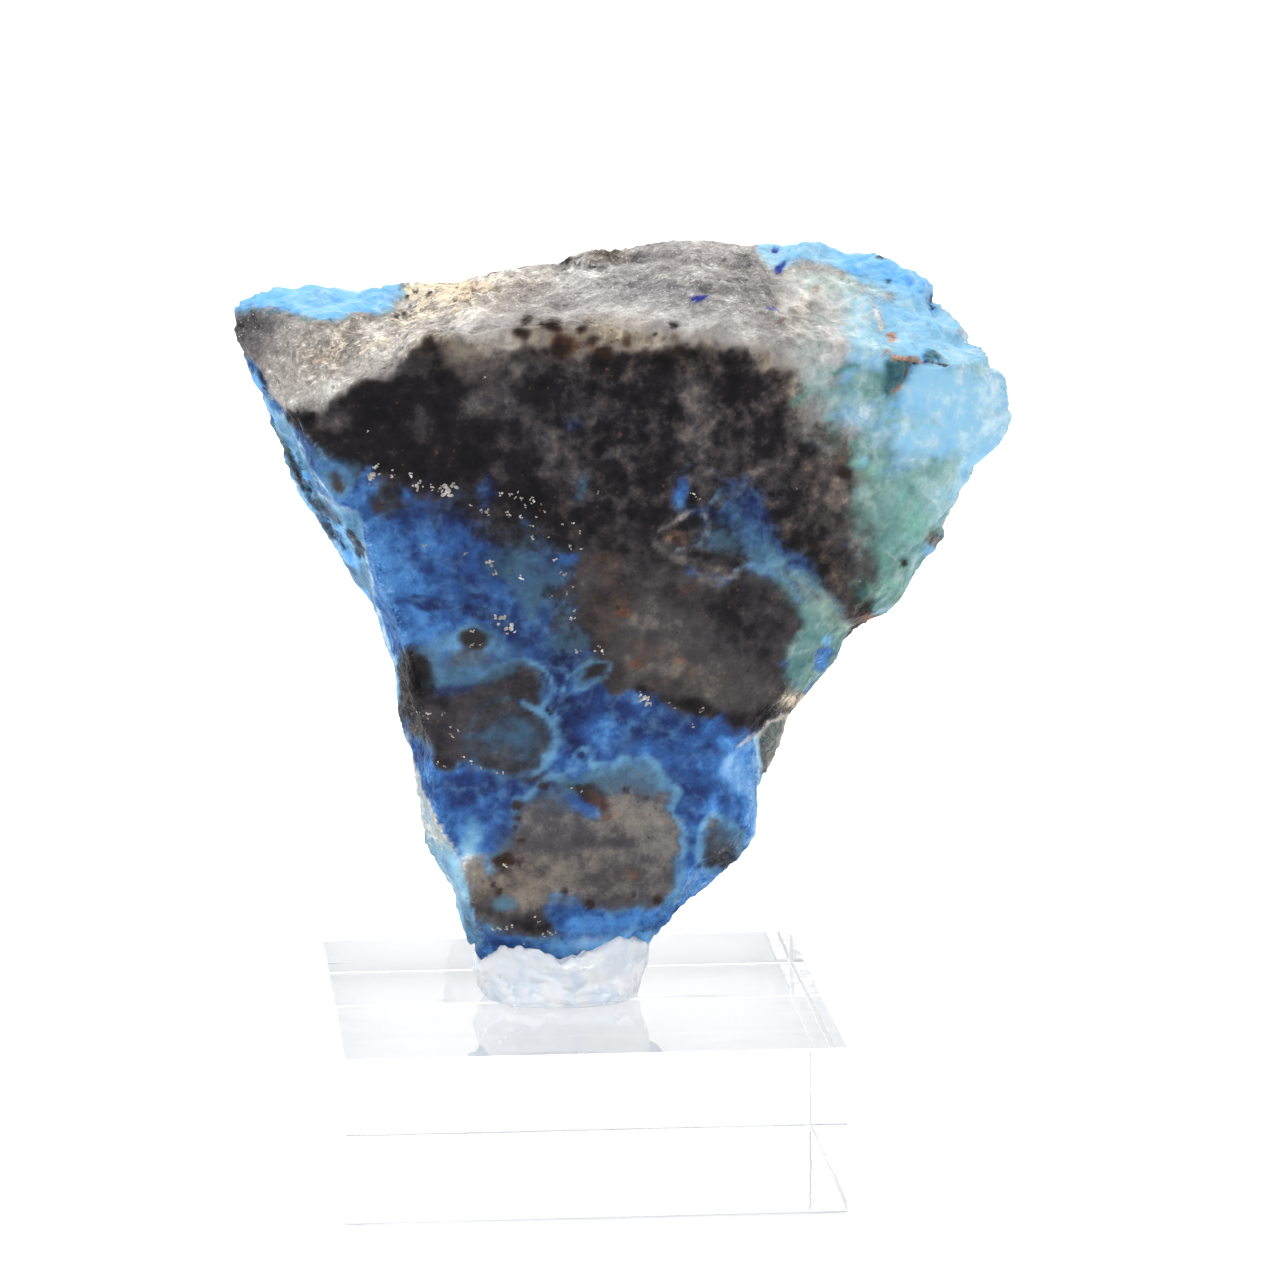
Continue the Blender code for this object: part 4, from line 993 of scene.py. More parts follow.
    for points, width, tone, amount in (
            ([(532, 663), (544, 667), (552, 678), (553, 690), (545, 704)], 5, 0.60, 0.85),
            ([(524, 702), (540, 710), (552, 724), (557, 740), (554, 754), (544, 768), (530, 778)],
             6, 0.52, 0.85),
            ([(528, 703), (512, 698), (494, 701), (478, 712), (470, 728), (469, 744), (476, 760)],
             7, 0.18, 0.22),
            ([(498, 722), (510, 718), (524, 724), (531, 738), (526, 752), (512, 758)], 5, 0.16, 0.22),
            ([(574, 756), (578, 748), (588, 747), (594, 753), (588, 760), (578, 760)], 3, 0.7, 0.8),
            ([(564, 688), (568, 693), (580, 690), (592, 684), (600, 678)], 3, 0.50, 0.8),
            ([(564, 688), (570, 677), (584, 666), (597, 659)], 3, 0.46, 0.8),
            ([(702, 828), (706, 819), (714, 815), (722, 819), (727, 829)], 4, 0.72, 0.85),
            ([(585, 752), (592, 766), (604, 764), (617, 765), (620, 758), (630, 757), (646, 758),
              (657, 765), (661, 778), (670, 785), (679, 790), (675, 802), (672, 812),
              (679, 826), (690, 832)], 5.5, 0.62, 0.95),
            ([(684, 840), (688, 850), (684, 866), (679, 884), (676, 898)], 7, 0.6, 0.85),
            ([(573, 768), (560, 774), (548, 778), (536, 788), (527, 798), (512, 800)], 5, 0.5, 0.8),
            ([(556, 742), (560, 724), (552, 708)], 5, 0.45, 0.7),
            ([(699, 834), (697, 852), (702, 870), (716, 878)], 5, 0.6, 0.8),
            ([(728, 822), (741, 832), (746, 848)], 4, 0.6, 0.7),
            ([(508, 572), (524, 566), (536, 578), (538, 600), (530, 618)], 4, 0.3, 0.35),
            ([(440, 640), (455, 630), (470, 622), (492, 626), (506, 640), (500, 655)], 4, 0.35, 0.4),
            ([(322, 468), (330, 463), (342, 468), (352, 482), (350, 494), (340, 498)], 5, 0.55, 0.45),
            ([(326, 470), (324, 480), (330, 490), (340, 497)], 4, 0.5, 0.4)):
        broken = 0.62 + 0.38 * smooth_step(-0.25, 0.35, cloud(co, 1.1, 83, 2))
        p.put("veil", p.line(points, width, 2.8, 2.0) * broken, tone, amount)
    p.put("clay", p.area([(370, 492), (384, 486), (400, 492), (404, 504), (394, 516), (378, 516),
                          (370, 506)], 0.4, 0.5), 0.14, 0.75)
    for x, y, rx, ry, turn, tone, amount in ((582, 789, 9, 5, 25, 0.16, 0.8), (592, 795, 9, 6, 20, 0.20, 0.7),
                                             (600, 803, 7, 4, 45, 0.24, 0.6), (588, 801, 6, 4, 0, 0.30, 0.5)):
        p.put("clay", p.spot(x, y, rx, ry, turn, 0.9, 1.1), tone, amount)
    p.put("rust", p.spot(598, 801, 9, 5, 40, 0.9, 1.1), 0.2, 0.5)

    # pale streaked facet at the lower right, and the chunk behind it
    facet = p.area([(722, 762), (731, 749), (745, 741), (756, 734), (762, 742), (762, 800),
                    (760, 836), (748, 842), (744, 812), (738, 792), (726, 780)], 0.35, 0.3)
    streak = cloud(np.stack([p.x * 0.30, p.y * 0.035, 0 * p.x], 1), 1.0, 91, 2)
    p.put("azurite", facet, 0.86 + 0.22 * streak, 0.9)
    p.put("azurite", p.spot(726, 742, 9, 6, -20, 0.8, 0.4), 0.85, 0.7)
    p.put("azurite", p.spot(730, 775, 12, 6, 20, 0.7, 0.4), 0.72, 0.6)
    chunk = p.area([(766, 724), (790, 712), (796, 722), (784, 752), (768, 784), (758, 792),
                    (762, 760), (761, 738)], 0.45, 0.45)
    p.put("clay", chunk, 0.74 + 0.10 * mid)
    p.put("teal", chunk, 0.40 + 0.1 * mid, 0.30)
    p.put("tenorite", p.line([(762, 728), (764, 750), (764, 776)], 6, 5.0, 2.0) * chunk, 0.40, 0.6)
    p.put("clay", p.line([(790, 716), (786, 734), (779, 752), (768, 776)], 7, 3, 1), 0.95, 0.8)
    p.put("quartz", p.line([(788, 715), (768, 723), (761, 733), (748, 741), (738, 747)], 4, 2, 1.5),
          0.82, 0.8)
    p.put("sky", p.line([(757, 738), (759, 770), (759, 800), (757, 830), (750, 846)], 4, 2.5, 1),
          0.95, 0.7)

    # left ridge and the streaked side facet behind it
    side = smooth_step(0.15, -0.05, inside(p.x, p.y, FRONT_FACE)) * (
        p.area([(236, 350), (251, 362), (262, 378), (266, 395), (284, 412), (292, 427),
                (307, 470), (323, 496), (347, 512), (361, 513), (362, 533), (365, 564),
                (372, 594), (376, 619), (394, 660), (400, 700), (380, 720), (340, 620),
                (280, 520), (230, 400)], 0.3, 0.1))
    slant = (p.x - 280) * 0.86 - (p.y - 440) * 0.46
    strand = cloud(np.stack([slant * 0.22, (p.y + p.x) * 0.018, 0 * slant], 1), 1.0, 92, 3)
    p.put("sky", side, 0.40 + 0.50 * strand, 0.95)
    p.put("veil", side * smooth_step(-0.2, 0.3, cloud(co, 0.5, 93, 2)), 0.36 + 0.4 * strand, 0.75)
    for points, width, kind, tone, amount in (
            ([(268, 418), (280, 440), (288, 456), (303, 487), (318, 512), (330, 530), (346, 548)],
             7, "clay", 0.16, 0.75),
            ([(282, 446), (296, 470), (312, 492)], 4, "tenorite", 0.25, 0.7),
            ([(312, 490), (324, 506), (338, 524)], 8, "clay", 0.20, 0.6),
            ([(266, 412), (276, 430), (286, 452)], 6, "teal", 0.4, 0.5),
            ([(333, 500), (348, 510)], 6, "indigo", 0.2, 0.5),
            ([(350, 534), (362, 553)], 9, "clay", 0.16, 0.8),
            ([(249, 363), (262, 377), (264, 393), (273, 404), (285, 411)], 5, "azurite", 0.52, 0.9),
            ([(262, 374), (264, 392)], 3, "ink", 0.2, 0.6),
            ([(242, 368), (254, 390), (264, 410)], 9, "quartz", 0.92, 0.7)):
        p.put(kind, p.line(points, width, 2.5, 2.5), tone, amount)
    p.put("quartz", p.line([(284, 413), (292, 427), (307, 468), (323, 495), (347, 511),
                            (361, 516), (364, 540), (368, 572), (375, 606), (386, 640),
                            (394, 664)], 4, 2.6, 2.5), 0.84 + 0.2 * small, 0.30)
    p.put("veil", p.line([(284, 413), (292, 427), (307, 468), (323, 495), (347, 511), (361, 516),
                          (364, 540), (368, 572), (375, 606), (386, 640), (394, 664)], 3, 2.0, 2.5), 0.96, 0.45)
    p.put("sky", p.line([(375, 606), (386, 640), (396, 664)], 3, 2, 2), 0.95, 0.6)
    for points, width, tone, amount in (
            ([(293, 435), (318, 479), (342, 509), (362, 543), (372, 582), (381, 621), (391, 660)], 1.6, 0.96, 0.50),
            ([(298, 426), (320, 452), (337, 475), (354, 500), (367, 528), (375, 572)], 1.4, 0.90, 0.40),
            ([(300, 455), (322, 496), (346, 524), (358, 552)], 1.4, 0.92, 0.40)):
        broken = 0.45 + 0.55 * smooth_step(-0.2, 0.3, cloud(co, 1.3, 131, 2))
        p.put("veil", p.line(points, width, 1.5, 2.0) * broken, tone + 0.05, amount)

    # cream and pale blue strip behind the lower left ridge
    strip = p.area([(403, 730), (412, 744), (420, 780), (432, 812), (448, 842), (461, 864),
                    (470, 898), (478, 940), (470, 960), (440, 920), (420, 860), (400, 790)],
                   0.25, 0.1) * smooth_step(0.2, -0.05, inside(p.x, p.y, FRONT_FACE))
    p.put("quartz", strip * smooth_step(868, 846, p.y), 0.78 + 0.10 * mid)
    p.put("teal", strip, 0.86 + 0.10 * mid, 0.45)
    p.put("veil", strip * smooth_step(-0.2, 0.3, cloud(co, 0.6, 94, 2)), 0.82, 0.55)
    p.put("sky", strip * smooth_step(846, 868, p.y), 0.60 + 0.2 * mid)
    p.put("sky", p.spot(622, 944, 66, 13, -6, 0.8, 0.5), 0.06, 0.70)
    p.put("clay", p.spot(419, 826, 6, 14, -10, 0.8, 0.4), 0.86, 0.8)
    p.put("veil", p.spot(441, 864, 9, 24, -25, 0.8, 0.4), 0.76, 0.75)
    p.put("quartz", p.spot(448, 898, 8, 18, -15, 0.8, 0.4), 0.82, 0.6)
    p.put("clay", p.spot(466, 912, 5, 26, -12, 0.8, 0.5), 0.25, 0.6)
    p.put("clay", p.spot(474, 873, 12, 16, 10, 0.9, 0.5), 0.76, 0.55)
    p.put("veil", p.spot(445, 874, 9, 18, -25, 0.9, 0.5), 0.74, 0.60)
    p.put("clay", p.spot(476, 930, 12, 14, 0, 0.9, 0.5), 0.60, 0.30)
    p.put("clay", p.spot(533, 842, 18, 16, 0, 0.9, 0.5), 0.52, 0.45)
    p.put("clay", p.spot(566, 902, 16, 9, 0, 0.9, 0.6), 0.55, 0.45)
    p.put("clay", p.spot(624, 902, 18, 8, 0, 0.9, 0.6), 0.52, 0.40)
    p.put("clay", p.spot(532, 780, 18, 8, 0, 0.9, 0.5), 0.36, 0.35)
    p.put("tenorite", p.spot(565, 630, 17, 14, 0, 0.9, 0.6), 0.35, 0.38)
    p.put("clay", p.spot(505, 750, 17, 15, 0, 0.9, 0.6), 0.50, 0.50)
    p.put("tenorite", p.spot(385, 480, 15, 15, 0, 0.9, 0.6), 0.30, 0.40)
    p.put("clay", p.spot(445, 330, 16, 14, 0, 0.9, 0.7), 0.78, 0.32)
    p.put("quartz", p.spot(715, 330, 18, 13, 0, 0.9, 0.7), 0.42, 0.36)
    p.put("clay", p.spot(835, 540, 16, 17, 20, 0.9, 0.6), 0.70, 0.42)
    p.put("azurite", p.spot(535, 570, 16, 15, 0, 0.9, 0.6), 0.20, 0.36)
    p.put("tenorite", p.spot(505, 390, 16, 15, 0, 0.9, 0.7), 0.25, 0.36)
    p.put("clay", p.spot(415, 360, 16, 13, -20, 0.9, 0.7), 0.80, 0.40)
    p.put("clay", p.spot(595, 901, 17, 10, 0, 0.9, 0.6), 0.50, 0.42)
    p.put("clay", p.spot(865, 572, 13, 16, 20, 0.9, 0.6), 0.55, 0.36)
    p.put("quartz", p.spot(625, 300, 18, 12, 0, 0.9, 0.7), 0.46, 0.32)
    p.put("azurite", p.spot(596, 931, 26, 9, -6, 0.9, 0.5), 0.42, 0.45)
    p.put("veil", p.spot(474, 938, 9, 12, -12, 0.8, 0.5), 0.45, 0.7)
    p.put("quartz", p.line([(410, 748), (419, 780), (429, 804), (440, 828), (456, 853),
                            (466, 872)], 2.4, 1.6, 1.0), 0.86, 0.70)

    # notches, stains and cracks in the light blue
    p.put("teal", p.area([(887, 358), (912, 362), (907, 376), (898, 392), (890, 398), (884, 392),
                          (886, 376)], 0.3, 0.3), 0.04, 0.85)
    p.put("ink", p.line([(924, 361), (934, 363), (947, 364)], 3.0, 1.4, 1.0), 0.7, 0.85)
    p.put("teal", p.spot(931, 355, 8, 4.5, 12, 0.7, 0.4), 0.02, 0.8)
    p.put("ink", p.line([(930, 296), (931, 304), (935, 313)], 4.2, 1.6, 1.0), 0.2, 0.9)
    for points, width, tone, amount in (
            ([(893, 357), (906, 359), (918, 361)], 5.5, 0.80, 0.85),
            ([(888, 336), (892, 341), (897, 338), (894, 333), (888, 336)], 4, 0.85, 0.8),
            ([(882, 353), (888, 350)], 3.5, 0.7, 0.7), ([(908, 366), (904, 378), (898, 390)], 3.0, 0.35, 0.8),
            ([(894, 392), (900, 388), (903, 394)], 4, 0.9, 0.6)):
        p.put("rust", p.line(points, width, 1.6, 1.2), tone, amount)
    p.put("quartz", p.line([(876, 311), (880, 320), (881, 328)], 4, 1.8, 1.0), 0.97, 0.8)
    p.put("azurite", p.spot(822, 659, 7, 13, 28, 0.4, 0.5), 0.66, 0.95)
    p.put("sky", p.spot(828, 640, 5, 6, 20, 0.7, 0.5), 0.4, 0.7)
    p.put("sky", p.spot(862, 462, 4, 6, 0, 0.9, 0.6), 0.5, 0.45)
    p.put("clay", p.spot(935, 539, 9, 8, 30, 0.6, 0.4), 0.72, 0.7)
    p.put("sky", p.spot(935, 552, 8, 3.5, -50, 0.6, 0.4), 0.5, 0.8)
    for x, y, rx, ry, tone, amount in ((679, 662, 6, 4, 0.5, 0.6), (692, 673, 5, 4, 0.5, 0.5),
                                       (867, 617, 5, 4, 0.45, 0.7), (849, 450, 3.5, 3, 0.3, 0.8),
                                       (842, 459, 3, 3, 0.2, 0.7), (781, 319, 4, 2.2, 0.4, 0.85),
                                       (816, 289, 3.5, 3, 0.5, 0.7), (617, 283, 7, 4, 0.25, 0.7),
                                       (612, 275, 4, 2, 0.2, 0.6), (605, 817, 4, 3, 0.4, 0.7),
                                       (616, 814, 3, 2, 0.4, 0.6), (614, 830, 3.5, 2.5, 0.35, 0.7),
                                       (321, 361, 8, 4, 0.95, 0.45), (382, 509, 3.5, 2.5, 0.2, 0.8),
                                       (610, 560, 10, 8, 0.5, 0.3), (618, 603, 6, 7, 0.45, 0.2),
                                       (623, 613, 5, 3, 0.2, 0.6), (690, 590, 8, 5, 0.4, 0.35),
                                       (634, 874, 6, 5, 0.25, 0.6), (430, 340, 5, 9, 0.08, 0.6),
                                       (521, 333, 7, 4.5, 0.03, 0.85), (582, 327, 5, 3.5, 0.03, 0.7),
                                       (594, 340, 5, 4.5, 0.03, 0.7), (564, 348, 10, 8, 0.03, 0.75),
                                       (552, 326, 7, 4.5, 0.03, 0.8), (602, 353, 7, 6, 0.03, 0.7),
                                       (626, 342, 6, 5, 0.35, 0.5), (838, 620, 16, 7, 0.4, 0.3)):
        kind = "ink" if 400 < x < 700 and y < 360 else "rust"
        p.put(kind, p.spot(x, y, rx, ry, 0, 0.9, 1.0), tone, amount * (0.9 if kind == "ink" else 0.75))
    for x, y, r in ((903, 561, 7.0), (904, 562, 5.0), (541, 789, 4.2), (518, 807, 5.6), (518, 819, 3.4),
                    (516, 828, 3.6), (521, 842, 3.0), (579, 787, 3.6), (645, 799, 4.4),
                    (626, 790, 3.0), (586, 905, 4.6), (589, 908, 3.6), (564, 890, 4.0),
                    (633, 895, 3.2), (657, 899, 3.6), (498, 891, 4.0), (527, 322, 5.0),
                    (674, 325, 5.0), (655, 334, 3.8), (646, 351, 6.0), (676, 351, 6.5),
                    (845, 473, 5.5), (821, 256, 2.0), (889, 281, 2.4), (399, 287, 1.8),
                    (415, 291, 1.6), (408, 295, 1.4), (431, 292, 1.4), (456, 288, 1.6),
                    (455, 299, 1.4), (410, 304, 1.8), (413, 310, 1.8),
                    (404, 313, 1.6), (397, 316, 2.0), (510, 275, 1.8), (488, 712, 3.4),
                    (518, 771, 2.8), (414, 734, 2.4), (675, 541, 2.4), (609, 535, 3.0),
                    (493, 883, 2.4), (640, 692, 4.0), (652, 690, 3.0), (618, 608, 2.6)):
        p.put("ink", p.spot(x, y, r, r * 0.9, 0, 0.6, 0.9), 0.35, 0.8)
    p.put("ink", p.spot(503, 867, 15, 12, 0, 0.45, 0.9) * smooth_step(-0.5, 0.3, small), 0.45, 0.85)

    for x, y, rx, ry, turn, value, amount in (
            (835, 470, 34, 50, 0, 0.45, 0.8), (850, 600, 20, 22, 0, 0.6, 0.8),
            (640, 630, 60, 50, 0, 0.10, 0.8), (720, 690, 70, 26, 6, 0.35, 0.8),
            (540, 870, 60, 26, 0, 0.25, 0.8), (500, 885, 36, 26, 0, 0.55, 0.9),
            (620, 815, 50, 30, 0, 0.18, 0.7), (505, 738, 44, 40, 0, -0.55, 0.8),
            (560, 830, 40, 26, 0, -0.25, 0.6), (655, 840, 30, 50, 0, -0.25, 0.6),
            (720, 845, 24, 30, 0, -0.45, 0.8), (480, 290, 60, 20, -6, 0.5, 0.8),
            (400, 310, 80, 30, -12, 0.35, 0.6), (650, 292, 60, 18, 4, -0.25, 0.7),
            (610, 338, 34, 18, 0, 0.9, 0.8), (470, 352, 40, 16, -8, 0.6, 0.7),
            (386, 504, 22, 16, 0, 0.8, 0.8), (820, 380, 40, 40, 0, -0.2, 0.6),
            (240, 330, 30, 30, 0, -0.1, 0.5), (330, 356, 60, 34, -10, 0.24, 0.8),
            (607, 253, 16, 6, 0, 0.9, 0.9), (432, 345, 14, 12, 0, 0.9, 0.9), (536, 338, 20, 14, 0, 0.8, 0.8),
            (562, 352, 14, 12, 0, 0.9, 0.9), (604, 356, 16, 12, 0, 0.8, 0.8), (470, 365, 26, 14, 0, 0.5, 0.7),
            (700, 362, 40, 12, 4, 0.6, 0.7), (786, 384, 14, 22, -20, 0.8, 0.8), (820, 566, 34, 14, 40, 0.8, 0.8),
            (800, 545, 20, 30, -30, 0.5, 0.7), (620, 600, 20, 26, 0, 0.4, 0.6), (690, 585, 30, 14, 20, 0.3, 0.6), (792, 702, 34, 16, -42, 0.4, 0.7),
            (905, 590, 26, 30, -50, 0.5, 0.6), (610, 355, 90, 14, 0, 0.5, 0.6)):
        p.blend(p.warm, p.spot(x, y, rx, ry, turn, 0.9, 0.5), value, amount)

    # the foot inside the gel: painted light, pale where the gel clings to it, standing for light scattered in the gel
    depth = co[:, 2] + 0.2 * mid - 9.85 - 0.92 * np.interp(co[:, 0], GEL_TOP[0], GEL_TOP[1])
    painted_gel_light = smooth_step(0.1, -0.5, depth)
    p.put("sky", painted_gel_light, 0.97, 0.85)
    p.put("quartz", smooth_step(-0.3, -1.2, depth), 0.98, 0.65)

    # the unseen sides: the same layers carried round, without the small markings
    hidden = smooth_step(0.30, 0.90, 1.0 - p.seen) * (1.0 - painted_gel_light)
    for kind in ("ink", "rust", "indigo"):
        lost = p.weight[kind] * 0.85 * (1.0 - p.seen)
        p.weight[kind] -= lost
        p.weight["clay"] += lost
    x, z = co[:, 0], co[:, 2]
    fold = co + 2.4 * np.stack([cloud(co, 0.16, s, 2) for s in (201, 202, 203)], 1)
    level = z + 0.16 * (x - 3.0) + 4.2 * cloud(fold, 0.085, 95, 2) + 1.6 * cloud(fold, 0.30, 96, 3)
    p.put("azurite", hidden, 0.34 + 0.14 * big + 0.20 * mid + 0.06 * small)
    p.put("veil", hidden * smooth_step(0.05, 0.5, cloud(fold, 0.22, 97, 3)), 0.34 + 0.2 * mid, 0.7)
    p.put("clay", hidden * smooth_step(0.22, 0.42, cloud(fold, 0.13, 98, 3)), 0.50 + 0.2 * mid, 0.9)
    upper = smooth_step(43.0, 48.0, level)
    band = smooth_step(36.0, 39.0, level) * (1.0 - upper)
    p.put("tenorite", hidden * band, 0.20 + 0.16 * mid + 0.10 * small, 0.95)
    p.put("clay", hidden * band * smooth_step(0.0, 0.4, cloud(fold, 0.24, 99, 3)), 0.52, 0.7)
    p.put("quartz", hidden * upper, 0.56 + 0.16 * mid + 0.08 * small + 0.08 * big, 0.97)
    p.put("clay", hidden * upper * smooth_step(0.0, 0.45, cloud(fold, 0.20, 104, 3)), 0.86, 0.7)
    east = smooth_step(9.0, 16.0, x + 3.0 * cloud(fold, 0.14, 105, 2)) * smooth_step(24.0, 32.0, z)
    p.put("teal", hidden * east, 0.40 + 0.2 * mid, 0.85)
    p.put("sky", hidden * east * smooth_step(-0.15, 0.35, cloud(fold, 0.20, 106, 3)), 0.52 + 0.2 * mid, 0.85)
    west = smooth_step(-11.0, -16.0, x + 2.0 * cloud(fold, 0.16, 107, 2)) * smooth_step(46.0, 40.0, z)
    p.put("sky", hidden * west, 0.30 + 0.3 * mid, 0.6)
    seam = np.abs(cloud(fold, 0.21, 108, 3))
    p.put("azurite", hidden * upper * smooth_step(0.06, 0.01, seam)
          * smooth_step(0.0, 0.3, cloud(fold, 0.34, 112, 2)), 0.34, 0.7)
    p.put("quartz", hidden * smooth_step(0.03, 0.01, np.abs(cloud(fold, 0.26, 109, 3))) * (1 - upper),
          0.62, 0.6)
    p.put("rust", hidden * smooth_step(0.30, 0.44, cloud(fold, 0.26, 110, 3)), 0.34 + 0.2 * mid, 0.40)
    p.blend(p.mottle, hidden, 0.42)
    p.blend(p.warm, hidden * (upper + 0.6 * band), 0.25)
    return p, front


RAMPS = {
    "azurite": [(0.0, (17, 24, 60)), (0.22, (29, 48, 95)), (0.45, (42, 79, 136)),
                (0.7, (71, 127, 190)), (1.0, (140, 182, 222))],
    "tenorite": [(0.0, (8, 6, 9)), (0.2, (26, 23, 26)), (0.45, (62, 58, 61)),
                 (0.7, (100, 96, 95)), (1.0, (156, 152, 145))],
    "clay": [(0.0, (24, 20, 22)), (0.3, (43, 40, 43)), (0.55, (71, 67, 69)),
             (0.8, (122, 116, 109)), (0.92, (182, 171, 158)), (1.0, (222, 212, 193))],
    "quartz": [(0.0, (52, 50, 52)), (0.3, (106, 102, 103)), (0.6, (154, 149, 146)),
               (0.82, (194, 190, 186)), (1.0, (238, 237, 235))],
    "sky": [(0.0, (60, 130, 214)), (0.25, (104, 174, 236)), (0.5, (128, 184, 222)),
            (0.75, (142, 190, 216)), (1.0, (190, 216, 228))],
    "teal": [(0.0, (44, 76, 86)), (0.25, (76, 116, 114)), (0.5, (107, 143, 139)),
             (0.75, (138, 170, 165)), (1.0, (190, 208, 202))],
    "veil": [(0.0, (54, 78, 94)), (0.3, (68, 102, 128)), (0.6, (92, 138, 172)),
             (0.8, (132, 170, 194)), (1.0, (204, 217, 227))],
    "indigo": [(0.0, (18, 20, 86)), (1.0, (54, 68, 180))],
    "rust": [(0.0, (34, 24, 20)), (0.3, (82, 56, 42)), (0.6, (140, 100, 76)),
             (1.0, (222, 178, 154))],
    "mint": [(0.0, (66, 112, 102)), (0.5, (110, 168, 154)), (1.0, (158, 208, 194))],
    "ink": [(0.0, (24, 18, 18)), (0.5, (46, 34, 28)), (1.0, (74, 70, 92))],
}


def linear(rgb):
    out = []
    for c in rgb:
        c /= 255.0
        out.append(c / 12.92 if c <= 0.04045 else ((c + 0.055) / 1.055) ** 2.4)
    return (*out, 1.0)


class Tree:
    """Short hands for building a node tree."""

    def __init__(self, tree):
        self.tree = tree
        self.nodes, self.links = tree.nodes, tree.links
        self.coords = self.add("ShaderNodeTexCoord").outputs["Object"]

    def add(self, kind, **settings):
        node = self.nodes.new(kind)
        for key, value in settings.items():
            setattr(node, key, value)
        return node

    def feed(self, socket, value):
        if isinstance(value, bpy.types.NodeSocket):
            self.links.new(value, socket)
        else:
            socket.default_value = value

    def math(self, operation, a, b=None, c=None, clamp=False):
        node = self.add("ShaderNodeMath", operation=operation, use_clamp=clamp)
        for socket, value in zip(node.inputs, (a, b, c)):
            if value is not None:
                self.feed(socket, value)
        return node.outputs[0]

    def attribute(self, name):
        return self.add("ShaderNodeAttribute", attribute_name=name).outputs["Fac"]

    def noise(self, per_mm, detail=3.0, rough=0.55, offset=0.0, distortion=0.0):
        mapping = self.add("ShaderNodeMapping")
        mapping.inputs["Location"].default_value = (offset, offset * 1.7, -offset)
        self.links.new(self.coords, mapping.inputs["Vector"])
        node = self.add("ShaderNodeTexNoise")
        self.links.new(mapping.outputs[0], node.inputs["Vector"])
        node.inputs["Scale"].default_value = per_mm * 1000.0
        node.inputs["Detail"].default_value = detail
        node.inputs["Roughness"].default_value = rough
        node.inputs["Distortion"].default_value = distortion
        return node.outputs[0]

    def cells(self, per_mm, feature="F1", output="Distance"):
        node = self.add("ShaderNodeTexVoronoi", feature=feature)
        self.links.new(self.coords, node.inputs["Vector"])
        node.inputs["Scale"].default_value = per_mm * 1000.0
        return node.outputs[output]

    def dots(self, per_mm, radius, spare):
        """Round dots in scattered cells: radius as a share of a cell; spare cells stay empty."""
        node = self.add("ShaderNodeTexVoronoi")
        self.links.new(self.coords, node.inputs["Vector"])
        node.inputs["Scale"].default_value = per_mm * 1000.0
        split = self.add("ShaderNodeSeparateColor")
        self.links.new(node.outputs["Color"], split.inputs[0])
        chosen = self.math("GREATER_THAN", split.outputs[0], spare)
        size = self.math("MULTIPLY_ADD", split.outputs[1], radius, radius * 0.5)
        dot = self.math("SUBTRACT", 1.0, self.math("DIVIDE", node.outputs["Distance"], size), clamp=True)
        return self.math("MULTIPLY", chosen, self.span(dot, 0.0, 0.35))

    def grain_tone(self, per_mm):
        """One random value for each sugary grain."""
        node = self.add("ShaderNodeTexVoronoi")
        self.links.new(self.coords, node.inputs["Vector"])
        node.inputs["Scale"].default_value = per_mm * 1000.0
        split = self.add("ShaderNodeSeparateColor")
        self.links.new(node.outputs["Color"], split.inputs[0])
        return split.outputs[2]

    def strands(self, along_mm, across_mm, detail):
        """Noise drawn out along the stone's upper ridge."""
        line = at(432, 330, 5.0) - at(286, 407, 5.0)
        turn = Vector(line).to_track_quat("X", "Z").inverted()
        first = self.add("ShaderNodeMapping")
        first.inputs["Rotation"].default_value = turn.to_euler()
        self.links.new(self.coords, first.inputs["Vector"])
        second = self.add("ShaderNodeMapping")
        second.inputs["Scale"].default_value = (along_mm * 1000, across_mm * 1000, across_mm * 1000)
        self.links.new(first.outputs[0], second.inputs["Vector"])
        node = self.add("ShaderNodeTexNoise")
        self.links.new(second.outputs[0], node.inputs["Vector"])
        node.inputs["Scale"].default_value = 1.0
        node.inputs["Detail"].default_value = detail
        node.inputs["Roughness"].default_value = 0.6
        return node.outputs[0]

    def dashes(self, along_mm, across_mm, radius, spare):
        """Short thin strokes lying along the stone's upper ridge; spare cells stay empty."""
        line = at(432, 330, 5.0) - at(286, 407, 5.0)
        turn = Vector(line).to_track_quat("X", "Z").inverted()
        first = self.add("ShaderNodeMapping")
        first.inputs["Rotation"].default_value = turn.to_euler()
        self.links.new(self.coords, first.inputs["Vector"])
        second = self.add("ShaderNodeMapping")
        second.inputs["Scale"].default_value = (along_mm * 1000, across_mm * 1000, across_mm * 1000)
        self.links.new(first.outputs[0], second.inputs["Vector"])
        node = self.add("ShaderNodeTexVoronoi")
        self.links.new(second.outputs[0], node.inputs["Vector"])
        node.inputs["Scale"].default_value = 1.0
        split = self.add("ShaderNodeSeparateColor")
        self.links.new(node.outputs["Color"], split.inputs[0])
        chosen = self.math("GREATER_THAN", split.outputs[0], spare)
        size = self.math("MULTIPLY_ADD", split.outputs[1], radius, radius * 0.4)
        mark = self.math("SUBTRACT", 1.0, self.math("DIVIDE", node.outputs["Distance"], size), clamp=True)
        return self.math("MULTIPLY", chosen, self.span(mark, 0.0, 0.6))

    def ramp(self, fac, stops):
        node = self.add("ShaderNodeValToRGB")
        elements = node.color_ramp.elements
        elements[0].position, elements[0].color = stops[0][0], linear(stops[0][1])
        elements[1].position, elements[1].color = stops[-1][0], linear(stops[-1][1])
        for position, rgb in stops[1:-1]:
            elements.new(position).color = linear(rgb)
        self.feed(node.inputs[0], fac)
        return node.outputs[0]

